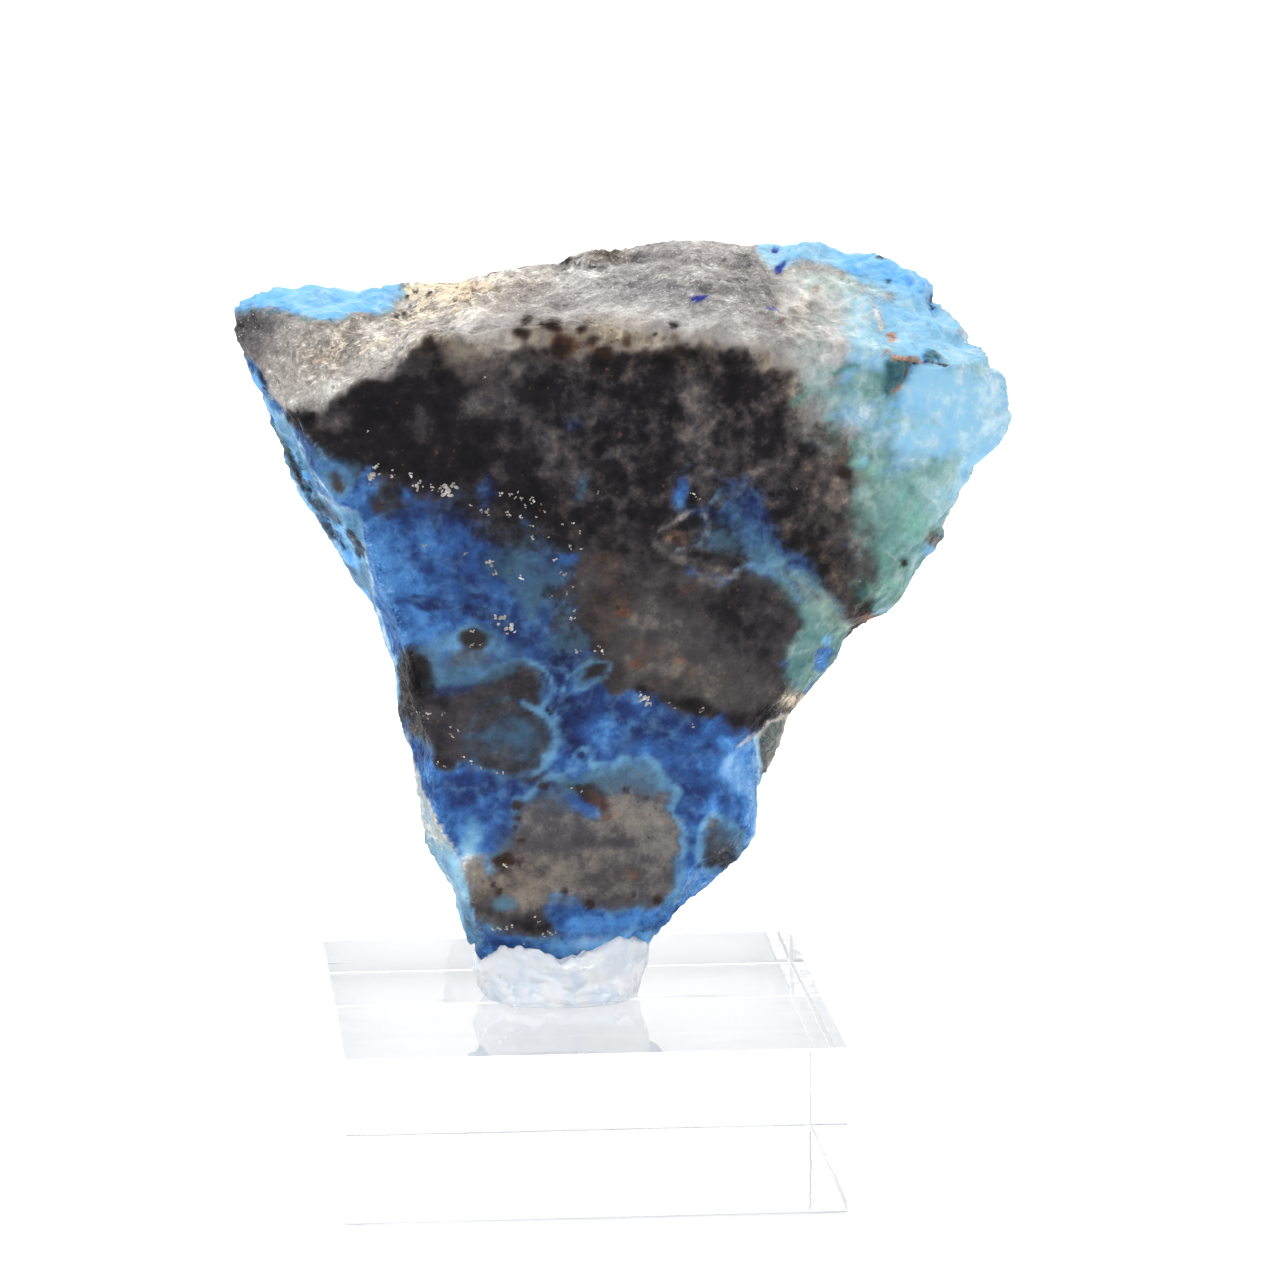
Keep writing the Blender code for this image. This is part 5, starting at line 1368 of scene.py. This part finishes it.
    def span(self, value, low, high, out_low=0.0, out_high=1.0):
        node = self.add("ShaderNodeMapRange", clamp=True)
        for socket, item in zip(node.inputs, (value, low, high, out_low, out_high)):
            self.feed(socket, item)
        return node.outputs[0]

    def mix(self, fac, a, b, blend="MIX"):
        node = self.add("ShaderNodeMix", data_type="RGBA", blend_type=blend)
        self.feed(node.inputs[0], fac)
        self.feed(node.inputs[6], a)
        self.feed(node.inputs[7], b)
        return node.outputs[2]


def stone_material(tree):
    t = Tree(tree)
    shader = tree.nodes["Principled BSDF"]
    clouds = t.noise(0.50, 5.0, 0.56, 0.0, 0.25)
    blots = t.noise(1.35, 4.0, 0.55, 5.0)
    grains = t.noise(4.2, 4.0, 0.6)
    specks = t.noise(9.0, 2.0, 0.5, 3.0)
    edge_a = t.noise(1.7, 6.0, 0.68, 11.0)
    edge_b = t.noise(2.0, 6.0, 0.68, 17.0)
    rough, mottle, warm = t.attribute("rough"), t.attribute("mottle"), t.attribute("warm")
    tone = t.attribute("tone")
    uneven = t.math("ADD", t.math("MULTIPLY", t.math("SUBTRACT", clouds, 0.5), 1.15),
                    t.math("MULTIPLY", t.math("SUBTRACT", blots, 0.5), 1.05))
    tone = t.math("ADD", tone, t.math("MULTIPLY", uneven, mottle))
    tone = t.math("ADD", tone, t.math("MULTIPLY", t.math("SUBTRACT", grains, 0.5), 0.17))
    tone = t.math("ADD", tone, t.math("MULTIPLY", t.math("SUBTRACT", specks, 0.5), 0.13))
    smoke = t.math("MULTIPLY", t.span(t.noise(0.60, 5.0, 0.60, 31.0, 0.25), 0.50, 0.70),
                   t.attribute("zone_tenorite"))
    tone = t.math("ADD", tone, t.math("MULTIPLY", smoke, 0.22))
    # the broken faces: fine strands along the ridge and grain; dark dots as painted shade in small pits and bright
    # dashes as painted glints
    strands = t.strands(0.45, 2.6, 3.0)
    broken = t.math("ADD", t.math("MULTIPLY", t.math("SUBTRACT", strands, 0.5), 0.13),
                    t.math("MULTIPLY", t.math("SUBTRACT", specks, 0.5), 0.12))
    for per_mm, share in ((1.3, 0.05), (2.9, 0.09), (5.6, 0.12)):
        grain = t.grain_tone(per_mm)
        broken = t.math("ADD", broken, t.math("MULTIPLY", t.math("SUBTRACT", grain, 0.5), share))
    # painted shade: dark dots for the shade in small pits
    pit_shade = t.math("MAXIMUM", t.dots(1.5, 0.20, 0.72), t.dots(3.0, 0.22, 0.86))
    broken = t.math("SUBTRACT", broken, t.math("MULTIPLY", pit_shade, 0.20))
    # painted highlights: short bright dashes along the ridge for glints
    dashes = t.math("MAXIMUM", t.dashes(0.95, 2.9, 0.34, 0.70), t.dashes(1.8, 5.2, 0.36, 0.72))
    broken = t.math("ADD", broken, t.math("MULTIPLY", dashes, 0.20))
    tone = t.math("ADD", tone, t.math("MULTIPLY", broken, rough))
    total = None
    colour = None
    for index, kind in enumerate(Paint.KINDS):
        weight = t.attribute("zone_" + kind)
        spread = t.math("MULTIPLY", weight, t.math("SUBTRACT", 1.0, weight))
        push = t.math("MULTIPLY", t.math("SUBTRACT", edge_a if index % 2 else edge_b, 0.5),
                      t.math("MULTIPLY", spread, 6.5))
        weight = t.math("POWER", t.math("ADD", weight, push, clamp=True), 1.6)
        shade = t.ramp(tone, RAMPS[kind])
        if total is None:
            total, colour = t.math("ADD", weight, 1e-4), shade
        else:
            total = t.math("ADD", total, weight)
            colour = t.mix(t.math("DIVIDE", weight, total), colour, shade)
    # pale wisps in the blue
    wisp = t.math("ABSOLUTE", t.math("SUBTRACT", t.noise(0.42, 3.0, 0.5, 23.0, 0.5), 0.5))
    wisp = t.math("MULTIPLY", t.span(wisp, 0.0, 0.09, 1.0, 0.0), t.span(blots, 0.40, 0.64))
    wisp = t.math("MULTIPLY", wisp, t.attribute("zone_azurite"))
    colour = t.mix(t.math("MULTIPLY", wisp, 0.26), colour, linear((104, 152, 190)))
    light = t.math("ADD", t.attribute("zone_sky"), t.attribute("zone_teal"), clamp=True)
    film = t.math("ABSOLUTE", t.math("SUBTRACT", t.noise(0.34, 4.0, 0.55, 41.0, 0.3), 0.5))
    film = t.math("MULTIPLY", t.span(film, 0.0, 0.06, 1.0, 0.0), t.span(clouds, 0.42, 0.60))
    colour = t.mix(t.math("MULTIPLY", t.math("MULTIPLY", film, light), 0.40), colour,
                   linear((196, 214, 216)))
    # brown stain where the dark mineral is densest
    stain = t.math("MULTIPLY", t.attribute("zone_tenorite"), t.span(blots, 0.50, 0.66))
    colour = t.mix(t.math("MULTIPLY", stain, 0.5), colour, (1.18, 0.98, 0.84, 1), "MULTIPLY")
    # iron specks in the grey-brown
    grit = t.math("ADD", t.attribute("zone_clay"), t.math("MULTIPLY", t.attribute("zone_tenorite"), 0.5))
    grit = t.math("MULTIPLY", t.math("MAXIMUM", t.dots(1.5, 0.15, 0.74), t.dots(2.7, 0.20, 0.80)), grit)
    grit = t.math("MULTIPLY", grit, 0.6)
    colour = t.mix(grit, colour, t.mix(t.span(blots, 0.42, 0.62), linear((30, 24, 22)),
                                       linear((112, 84, 64))))
    colour = t.mix(t.math("MAXIMUM", warm, 0.0), colour, (1.13, 0.99, 0.76, 1), "MULTIPLY")
    cool = t.math("MAXIMUM", t.math("MULTIPLY", warm, -1.0), 0.0)
    colour = t.mix(cool, colour, (0.78, 0.98, 1.24, 1), "MULTIPLY")
    # painted highlights: white specks mixed into the colour as glints on the broken faces
    painted_glint = t.math("MAXIMUM", t.dots(4.4, 0.26, 0.86), t.dots(7.0, 0.30, 0.86))
    painted_glint = t.math("MULTIPLY", painted_glint, t.span(clouds, 0.40, 0.52))
    pale = t.math("ADD", t.attribute("zone_quartz"), t.math("MULTIPLY", t.attribute("zone_clay"), 0.7))
    painted_glint = t.math("MULTIPLY", t.math("MULTIPLY", painted_glint, rough), t.math("MINIMUM", pale, 1.0))
    colour = t.mix(t.math("MULTIPLY", painted_glint, 0.62), colour, linear((246, 245, 242)))
    tree.links.new(colour, shader.inputs["Base Color"])

    gloss_mix = t.add("ShaderNodeMix", data_type="FLOAT")
    t.feed(gloss_mix.inputs[0], rough)
    t.feed(gloss_mix.inputs[2], t.span(clouds, 0.35, 0.65, 0.28, 0.44))
    t.feed(gloss_mix.inputs[3], t.span(grains, 0.3, 0.7, 0.45, 0.75))
    tree.links.new(gloss_mix.outputs[0], shader.inputs["Roughness"])
    shader.inputs["Specular IOR Level"].default_value = 0.09

    relief = t.math("ADD", t.math("MULTIPLY", t.noise(1.2, 2.0, 0.5, 5.0), 0.9),
                    t.math("MULTIPLY", t.cells(2.2), 0.55))
    relief = t.math("ADD", relief, t.math("MULTIPLY", t.cells(5.0), 0.22))
    bump = t.add("ShaderNodeBump")
    bump.inputs["Distance"].default_value = 0.00030
    t.feed(bump.inputs["Strength"], t.math("MULTIPLY_ADD", rough, 0.92, 0.03))
    t.feed(bump.inputs["Height"], relief)
    tree.links.new(bump.outputs[0], shader.inputs["Normal"])


def piece(name, mesh, material):
    obj = bpy.data.objects.new(name, mesh)
    bpy.context.scene.collection.objects.link(obj)
    mesh.materials.clear()
    mesh.materials.append(material)
    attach(obj, "root")
    return obj


mesh, co, tri, rough = shape_stone()
print("stone", len(co), "points", len(tri), "triangles")
mesh.name = "stone"
mesh.polygons.foreach_set("use_smooth", np.ones(len(mesh.polygons), bool))
normal = normals_of(co, tri)
to_eye = EYE - co
to_eye /= np.linalg.norm(to_eye, axis=1, keepdims=True)
paint, front = paint_zones(co, (normal * to_eye).sum(1))
for kind, values in paint.weight.items():
    layer = mesh.attributes.new("zone_" + kind, "FLOAT", "POINT")
    layer.data.foreach_set("value", np.clip(values, 0, 1).astype(np.float32))
for name, values in (("tone", np.clip(paint.tone, 0, 1)), ("rough", rough * (1.0 - 0.5 * np.clip(
                         paint.weight["sky"] + 0.7 * paint.weight["teal"] + paint.weight["veil"], 0, 1))
                     * (1.0 - 0.8 * paint.calm)),
                     ("mottle", paint.mottle), ("warm", paint.warm)):
    layer = mesh.attributes.new(name, "FLOAT", "POINT")
    layer.data.foreach_set("value", values.astype(np.float32))
stone = piece("stone", mesh, add_material("copper_ore", stone_material))
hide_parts("azurite_malachite_stone")


# ---- grains standing on the smooth face ----------------------------------------------
FLAKES = [
    (373, 474, 6), (377, 466, 3), (370, 479, 4), (392, 477, 3), (393, 470, 2), (411, 476, 3.4),
    (417, 486, 4.6), (419, 483, 3), (432, 487, 3), (448, 490, 6.5), (452, 486, 4), (445, 494, 3.5),
    (440, 488, 3), (470, 505, 1.8), (486, 512, 4), (481, 510, 2.4), (502, 493, 2.6), (515, 498, 2),
    (512, 494, 2.6), (521, 498, 3), (525, 505, 2.4), (518, 492, 1.6), (534, 501, 3.2), (530, 500, 2),
    (510, 515, 2.6), (520, 517, 2.6), (508, 512, 2), (533, 526, 2.4), (545, 512, 2.2), (533, 539, 2.8),
    (549, 537, 1.6), (536, 517, 1.6), (541, 504, 1.4), (562, 524, 1.8), (574, 523, 2), (580, 531, 2.4),
    (570, 546, 3.2), (581, 549, 2), (556, 559, 2.6), (564, 575, 3.2), (561, 572, 2), (573, 587, 2),
    (567, 594, 1.8), (552, 596, 1.8), (574, 611, 2.4), (571, 618, 3), (575, 618, 2), (424, 546, 3.2),
    (465, 554, 2.8), (490, 562, 4.4), (496, 573, 3.4), (520, 578, 3.2), (501, 618, 5.4), (511, 628, 5.6),
    (577, 652, 3.4), (595, 651, 2.4), (602, 651, 2.8), (598, 646, 1.8), (417, 712, 2.2), (413, 713, 1.6),
    (428, 714, 2.6), (423, 716, 1.6), (442, 715, 1.8), (445, 713, 1.2), (428, 719, 1.8), (451, 727, 2),
    (458, 730, 1.6), (453, 737, 2.2), (450, 734, 1.4), (438, 762, 2.2), (444, 766, 2), (464, 757, 2),
    (471, 761, 2.4), (481, 768, 2), (497, 773, 2), (503, 772, 2.4), (471, 631, 2.6), (472, 645, 2.6),
    (480, 645, 2), (645, 698, 6), (650, 703, 3.4), (641, 695, 3), (669, 703, 2), (675, 708, 1.8),
    (693, 727, 2.4), (703, 708, 2.2), (700, 712, 1.8), (480, 928, 3), (493, 930, 2.4), (500, 929, 2.6),
    (507, 929, 3), (512, 925, 2.2), (543, 934, 2.4), (550, 933, 2.8), (556, 933, 2), (535, 917, 2),
    (538, 922, 2), (473, 902, 1.8), (524, 944, 1.8), (504, 865, 3), (694, 494, 3), (700, 499, 2),
    (598, 493, 2), (485, 377, 2), (368, 431, 2), (860, 581, 1.8), (797, 489, 1.6), (967, 472, 2),
    (572, 788, 1.6), (582, 791, 1.6), (462, 925, 1.6),
]


def grain_mesh(name, places, seed, rise, flat):
    """Small broken grains, each half sunk in the stone's surface, as one mesh."""
    tree = BVHTree.FromPolygons([tuple(v) for v in co], tri.tolist())
    rng = np.random.default_rng(seed)
    bm = bmesh.new()
    shards = []
    for gx, gy, radius in places:
        shards.append((gx, gy, radius * 0.47))
        for _ in range(int(radius / 1.3)):
            turn, away = rng.uniform(0, 6.28), radius * rng.uniform(0.6, 1.3)
            shards.append((gx + away * math.cos(turn), gy + away * math.sin(turn),
                           radius * rng.uniform(0.16, 0.40)))
    for gx, gy, radius in shards:
        ray = FORWARD * GRID_SCALE + (gx - GRID_HALF) * RIGHT - (gy - GRID_HALF) * UP
        ray /= np.linalg.norm(ray)
        hit, hit_normal, _, _ = tree.ray_cast(Vector(EYE), Vector(ray))
        if hit is None:
            continue
        size = radius * PX
        made = bmesh.ops.create_icosphere(bm, subdivisions=2, radius=1.0)["verts"]
        turn = hit_normal.to_track_quat("Z", "Y").to_matrix()
        spin = Matrix.Rotation(rng.uniform(0, 6.28), 3, "Z")
        stretch = rng.uniform(0.65, 1.5)
        lumps = rng.normal(size=(3, 3))
        for v in made:
            d = v.co.normalized()
            k = 1.0 + 0.22 * math.sin(3.1 * d.dot(Vector(lumps[0]))) \
                + 0.16 * math.sin(4.7 * d.dot(Vector(lumps[1])))
            q = Vector((round(d.x * 2.4) / 2.4 * 0.45 + d.x * 0.55,
                        round(d.y * 2.4) / 2.4 * 0.45 + d.y * 0.55, d.z))
            shaped = Vector((q.x * stretch, q.y / stretch, q.z * flat)) * (size * k)
            v.co = (hit + turn @ (spin @ shaped) + hit_normal * (size * rise)) * MM
    out = bpy.data.meshes.new(name)
    bm.to_mesh(out)
    bm.free()
    return out


def flake_material(tree):
    t = Tree(tree)
    shader = tree.nodes["Principled BSDF"]
    patch = t.noise(1.6, 3.0, 0.6, 7.0)
    colour = t.ramp(patch, [(0.25, (98, 94, 92)), (0.5, (150, 145, 140)), (0.75, (222, 219, 216))])
    tree.links.new(colour, shader.inputs["Base Color"])
    tree.links.new(t.span(t.noise(5.0, 2.0, 0.5), 0.3, 0.7, 0.22, 0.5), shader.inputs["Roughness"])
    shader.inputs["Metallic"].default_value = 0.12
    bump = t.add("ShaderNodeBump")
    bump.inputs["Distance"].default_value = 0.00006
    t.feed(bump.inputs["Height"], t.noise(9.0, 2.0, 0.5))
    tree.links.new(bump.outputs[0], shader.inputs["Normal"])


flakes = piece("mineral_grains", grain_mesh("mineral_grains", FLAKES, 5, 0.02, 0.40),
               add_material("pale_grains", flake_material))


# ---- the clear gel --------------------------------------------------------------------
def foot_mesh(top, swell):
    """The stone's foot, capped at a height and swollen a little (mm)."""
    bm = bmesh.new()
    bm.from_mesh(stone.data)
    for v in bm.verts:
        v.co += v.normal * (swell * MM)
    cut = bmesh.ops.bisect_plane(bm, geom=bm.verts[:] + bm.edges[:] + bm.faces[:],
                                 plane_co=(0, 0, top * MM), plane_no=(0, 0, 1), clear_outer=True)
    rim = [e for e in cut["geom_cut"] if isinstance(e, bmesh.types.BMEdge)]
    bmesh.ops.holes_fill(bm, edges=rim, sides=0)
    bmesh.ops.triangulate(bm, faces=[f for f in bm.faces if len(f.verts) > 3])
    mesh = bpy.data.meshes.new("foot")
    bm.to_mesh(mesh)
    bm.free()
    return mesh


def gel_mesh():
    turns, rings = 300, 84
    theta = np.linspace(0, 2 * math.pi, turns, endpoint=False)
    # profile from under the middle, out to the rim, up, over the edge and in
    path = np.array([(0.0, 0.0), (0.80, 0.0), (0.86, 0.05), (0.90, 0.25), (0.96, 0.55),
                     (0.99, 0.80), (0.97, 0.95), (0.90, 1.0), (0.66, 0.90), (0.0, 0.85)])
    run = np.concatenate([[0], np.cumsum(np.linalg.norm(np.diff(path, axis=0) * (1, 0.8), axis=1))])
    u = np.linspace(0, run[-1], rings)
    reach, lift = np.interp(u, run, path[:, 0])[1:-1], np.interp(u, run, path[:, 1])[1:-1]
    t, r = np.meshgrid(theta, reach)
    _, z = np.meshgrid(theta, lift)
    c, n = np.cos(t), np.sin(t)
    squared = (np.abs(c) ** 2.5 + np.abs(n) ** 2.5) ** (-1 / 2.5)
    x = -1.0 + 5.45 * squared * r * c
    y = -0.45 + 4.45 * squared * r * n
    top = np.interp(x, GEL_TOP[0], GEL_TOP[1])
    p = np.stack([x, y, z * top], 2).reshape(-1, 3)
    out = np.stack([c * (1 - z) + 0 * z, n * (1 - z), 0.2 + z], 2).reshape(-1, 3)
    out /= np.linalg.norm(out, axis=1, keepdims=True)
    bent = p + 0.5 * np.stack([cloud(p, 0.7, k) for k in (46, 47, 48)], 1)
    crumple = 0.30 * facets(bent, 0.62, 43) + 0.20 * facets(bent, 1.3, 44) + 0.06 * facets(bent, 2.7, 45)
    creased = 1.0 - np.abs(cloud(bent, 0.9, 49, 2)) * 3.0
    crumple += 0.10 * np.clip(creased, 0, 1)
    side = smooth_step(0.0, 0.5, p[:, 2])
    p = p + out * (crumple * side)[:, None]
    p[:, 2] = np.maximum(p[:, 2], 0.0) + 10.03
    # a skirt pulled out flat over the block
    bm = bmesh.new()
    verts = [bm.verts.new(v * MM) for v in p]
    under = bm.verts.new(Vector((-1.0, -0.45, 10.03)) * MM)
    over = bm.verts.new(Vector((-1.0, -0.45, 10.03 + 3.2)) * MM)
    count = rings - 2
    for k in range(turns):
        following = (k + 1) % turns
        bm.faces.new((under, verts[following], verts[k]))
        for j in range(count - 1):
            bm.faces.new((verts[j * turns + k], verts[j * turns + following],
                          verts[(j + 1) * turns + following], verts[(j + 1) * turns + k]))
        bm.faces.new((verts[(count - 1) * turns + k], verts[(count - 1) * turns + following], over))
    bmesh.ops.triangulate(bm, faces=bm.faces)
    bmesh.ops.recalc_face_normals(bm, faces=bm.faces)
    mesh = bpy.data.meshes.new("gel_lump")
    bm.to_mesh(mesh)
    bm.free()
    # the socket that the foot sits in
    lump = bpy.data.objects.new("gel_lump", mesh)
    foot = bpy.data.objects.new("foot", foot_mesh(17.0, 0.035))
    for obj in (lump, foot):
        bpy.context.scene.collection.objects.link(obj)
    cut = lump.modifiers.new("socket", "BOOLEAN")
    cut.operation, cut.solver, cut.object = "DIFFERENCE", "EXACT", foot
    result = bpy.data.meshes.new_from_object(
        lump.evaluated_get(bpy.context.evaluated_depsgraph_get()))
    for obj in (lump, foot):
        spare = obj.data
        bpy.data.objects.remove(obj)
        bpy.data.meshes.remove(spare)
    bm = bmesh.new()
    bm.from_mesh(result)
    bmesh.ops.remove_doubles(bm, verts=bm.verts, dist=1e-7)
    islands, unseen = [], set(bm.verts)
    while unseen:
        stack, island = [unseen.pop()], []
        while stack:
            v = stack.pop()
            island.append(v)
            for e in v.link_edges:
                w = e.other_vert(v)
                if w in unseen:
                    unseen.remove(w)
                    stack.append(w)
        islands.append(island)
    islands.sort(key=len)
    for island in islands[:-1]:
        bmesh.ops.delete(bm, geom=island, context="VERTS")
    bm.to_mesh(result)
    bm.free()
    result.name = "gel"
    result.polygons.foreach_set("use_smooth", np.ones(len(result.polygons), bool))
    print("gel", len(result.polygons), "faces", len(islands), "islands")
    return result


def gel_material(tree):
    t = Tree(tree)
    shader = tree.nodes["Principled BSDF"]
    shader.inputs["Transmission Weight"].default_value = 0.54
    shader.inputs["IOR"].default_value = 1.43
    colour = t.ramp(t.noise(0.7, 4.0, 0.6, 1.0, 0.8),
                    [(0.35, (228, 240, 254)), (0.5, (247, 250, 255)), (0.65, (255, 255, 255))])
    tree.links.new(colour, shader.inputs["Base Color"])
    tree.links.new(t.span(t.noise(0.9, 2.0, 0.5), 0.35, 0.7, 0.04, 0.30), shader.inputs["Roughness"])
    bump = t.add("ShaderNodeBump")
    bump.inputs["Strength"].default_value = 0.5
    bump.inputs["Distance"].default_value = 0.00022
    t.feed(bump.inputs["Height"], t.noise(0.9, 2.0, 0.5, 9.0, 0.4))
    tree.links.new(bump.outputs[0], shader.inputs["Normal"])


gel = piece("clear_gel", gel_mesh(), add_material("clear_gel", gel_material))
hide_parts("mounting_putty")


# ---- the clear block --------------------------------------------------------------------
def acrylic_material(tree):
    t = Tree(tree)
    shader = tree.nodes["Principled BSDF"]
    shader.inputs["Transmission Weight"].default_value = 1.0
    shader.inputs["IOR"].default_value = 1.49
    colour = t.ramp(t.noise(0.08, 2.0, 0.5), [(0.3, (251, 253, 255)), (0.7, (255, 255, 255))])
    tree.links.new(colour, shader.inputs["Base Color"])
    # polished faces; the eased edges are satin
    polish = t.span(t.noise(0.15, 2.0, 0.5, 2.0), 0.45, 0.75, 0.0, 0.012)
    tree.links.new(t.math("MULTIPLY_ADD", t.attribute("eased"), 0.55, polish), shader.inputs["Roughness"])
    bump = t.add("ShaderNodeBump")
    bump.inputs["Strength"].default_value = 0.12
    bump.inputs["Distance"].default_value = 0.0001
    t.feed(bump.inputs["Height"], t.noise(0.12, 2.0, 0.5))
    tree.links.new(bump.outputs[0], shader.inputs["Normal"])


def block_mesh():
    """30 x 30 x 10 mm, its edges eased by polishing and a little uneven."""
    bm = bmesh.new()
    bmesh.ops.create_cube(bm, size=1.0)
    for v in bm.verts:
        v.co = Vector((v.co.x * 30, v.co.y * 30, (v.co.z + 0.5) * 10)) * MM
    bmesh.ops.subdivide_edges(bm, edges=bm.edges[:], cuts=11, use_grid_fill=True)
    bm.normal_update()
    sharp = [e for e in bm.edges if e.calc_face_angle(0) > 1.0]
    bmesh.ops.bevel(bm, geom=sharp, offset=0.16 * MM, segments=3, profile=0.5, affect="EDGES")
    places = np.array([v.co for v in bm.verts]) / MM
    away = np.stack([15 - np.abs(places[:, 0]), 15 - np.abs(places[:, 1]),
                     np.minimum(places[:, 2], 10 - places[:, 2])], 1)
    on_edge = (np.sort(away, axis=1)[:, 1] < 0.20) & (np.sort(away, axis=1)[:, 1] > 1e-4)
    worn = 0.018 * np.abs(cloud(places, 1.4, 51, 2)) * on_edge
    centre = np.array((0, 0, 5.0))
    for v, place, w in zip(bm.verts, places, worn):
        v.co = (place - np.sign(place - centre) * w) * MM
    mesh = bpy.data.meshes.new("block")
    bm.to_mesh(mesh)
    bm.free()
    flat = np.array([max(map(abs, f.normal)) > 0.9999 for f in mesh.polygons])
    mesh.polygons.foreach_set("use_smooth", ~flat)
    eased = mesh.attributes.new("eased", "FLOAT", "FACE")
    eased.data.foreach_set("value", (~flat).astype(np.float32))
    return mesh


block = piece("clear_block", block_mesh(), add_material("clear_acrylic", acrylic_material))
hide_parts("acrylic_block")

# ---- floor, light and camera -----------------------------------------------------------
bpy.ops.mesh.primitive_plane_add(size=8.0, location=(0, 0, -0.00005))
floor = bpy.context.object
floor.name = "floor"


def floor_material(tree):
    t = Tree(tree)
    shader = tree.nodes["Principled BSDF"]
    colour = t.ramp(t.noise(0.01, 3.0, 0.5), [(0.3, (248, 249, 251)), (0.7, (252, 252, 253))])
    tree.links.new(colour, shader.inputs["Base Color"])
    shader.inputs["Roughness"].default_value = 0.6
    shader.inputs["Specular IOR Level"].default_value = 0.2


floor.data.materials.append(add_material("pale_floor", floor_material))

world = bpy.data.worlds.new("studio")
bpy.context.scene.world = world
world.use_nodes = True


def studio_light(tree):
    """A white tent: brightest overhead and behind, a little dimmer at the open front."""
    nodes, links = tree.nodes, tree.links
    background = nodes["Background"]
    background.inputs[0].default_value = (1.0, 1.0, 1.0, 1)
    split = nodes.new("ShaderNodeSeparateXYZ")
    links.new(nodes.new("ShaderNodeTexCoord").outputs["Generated"], split.inputs[0])
    depth = nodes.new("ShaderNodeMapRange")
    links.new(split.outputs[1], depth.inputs[0])
    for socket, value in zip(depth.inputs[1:5], (-0.6, 0.3, 0.62, 1.02)):
        socket.default_value = value
    height = nodes.new("ShaderNodeMapRange")
    links.new(split.outputs[2], height.inputs[0])
    for socket, value in zip(height.inputs[1:5], (0.15, 0.95, 1.0, 2.1)):
        socket.default_value = value
    light = nodes.new("ShaderNodeMath")
    light.operation = "MULTIPLY"
    links.new(depth.outputs[0], light.inputs[0])
    links.new(height.outputs[0], light.inputs[1])
    # the tent itself is burnt out to white, also where it shows through the clear block
    seen = nodes.new("ShaderNodeLightPath")
    white = nodes.new("ShaderNodeMath")
    white.operation = "MAXIMUM"
    links.new(light.outputs[0], white.inputs[0])
    white.inputs[1].default_value = 1.08
    direct = nodes.new("ShaderNodeMath")
    direct.operation = "MAXIMUM"
    links.new(seen.outputs["Is Camera Ray"], direct.inputs[0])
    links.new(seen.outputs["Is Transmission Ray"], direct.inputs[1])
    mirrored = nodes.new("ShaderNodeMath")
    mirrored.operation = "MAXIMUM"
    links.new(direct.outputs[0], mirrored.inputs[0])
    links.new(seen.outputs["Is Glossy Ray"], mirrored.inputs[1])
    strength = nodes.new("ShaderNodeMix")
    links.new(mirrored.outputs[0], strength.inputs[0])
    links.new(light.outputs[0], strength.inputs[2])
    links.new(white.outputs[0], strength.inputs[3])
    links.new(strength.outputs[0], background.inputs[1])


studio_light(world.node_tree)


def area_light(name, place, target, energy, size, colour=(1, 1, 1)):
    data = bpy.data.lights.new(name, "AREA")
    data.energy, data.size, data.color = energy, size, colour
    obj = bpy.data.objects.new(name, data)
    bpy.context.scene.collection.objects.link(obj)
    obj.location = place
    aim = Vector(target) - obj.location
    obj.rotation_euler = aim.to_track_quat("-Z", "Y").to_euler()
    return obj


area_light("top", (-0.10, 0.35, 0.60), (0, 0, 0.04), 1.2, 0.30)

# a narrow light on the foot and the gel, as bright as the lit table around them
spot_data = bpy.data.lights.new("foot_light", "SPOT")
spot_data.energy, spot_data.spot_blend, spot_data.shadow_soft_size = 11.5, 0.9, 0.02
spot_data.spot_size = math.radians(3.7)
spot = bpy.data.objects.new("foot_light", spot_data)
bpy.context.scene.collection.objects.link(spot)
spot.location = (-0.03, -0.30, 0.075)
spot.rotation_euler = (Vector((-0.001, -0.003, 0.0070)) - spot.location).to_track_quat("-Z", "Y").to_euler()

camera_data = bpy.data.cameras.new("camera")
camera = bpy.data.objects.new("camera", camera_data)
bpy.context.scene.collection.objects.link(camera)
camera_data.sensor_width = 36.0
camera_data.lens = 36.0 * GRID_SCALE / (2 * GRID_HALF)
camera_data.clip_start = 0.01
camera_data.clip_end = 20.0
rotation = np.eye(4)
rotation[:3, 0], rotation[:3, 1], rotation[:3, 2] = RIGHT, UP, -FORWARD
rotation[:3, 3] = EYE * MM
camera.matrix_world = Matrix([list(map(float, row)) for row in rotation])
bpy.context.scene.camera = camera

bpy.context.scene.view_settings.view_transform = "Standard"
bpy.context.scene.view_settings.look = "None"
bpy.context.scene.view_settings.exposure = 0.0


def lens_bloom(scene):
    """The burnt-out white spreads a little over the edges, as in the lens."""
    scene.use_nodes = True
    tree = scene.node_tree
    tree.nodes.clear()
    layer = tree.nodes.new("CompositorNodeRLayers")
    out = tree.nodes.new("CompositorNodeComposite")
    image = layer.outputs["Image"]
    for spread, share in ((0.40, 0.20), (1.1, 0.10), (3.0, 0.02)):
        blur = tree.nodes.new("CompositorNodeBlur")
        blur.filter_type = "FAST_GAUSS"
        blur.use_relative = True
        blur.factor_x = blur.factor_y = spread
        tree.links.new(layer.outputs["Image"], blur.inputs["Image"])
        mix = tree.nodes.new("CompositorNodeMixRGB")
        mix.inputs[0].default_value = share
        tree.links.new(image, mix.inputs[1])
        tree.links.new(blur.outputs[0], mix.inputs[2])
        image = mix.outputs[0]
    tree.links.new(image, out.inputs["Image"])


lens_bloom(bpy.context.scene)
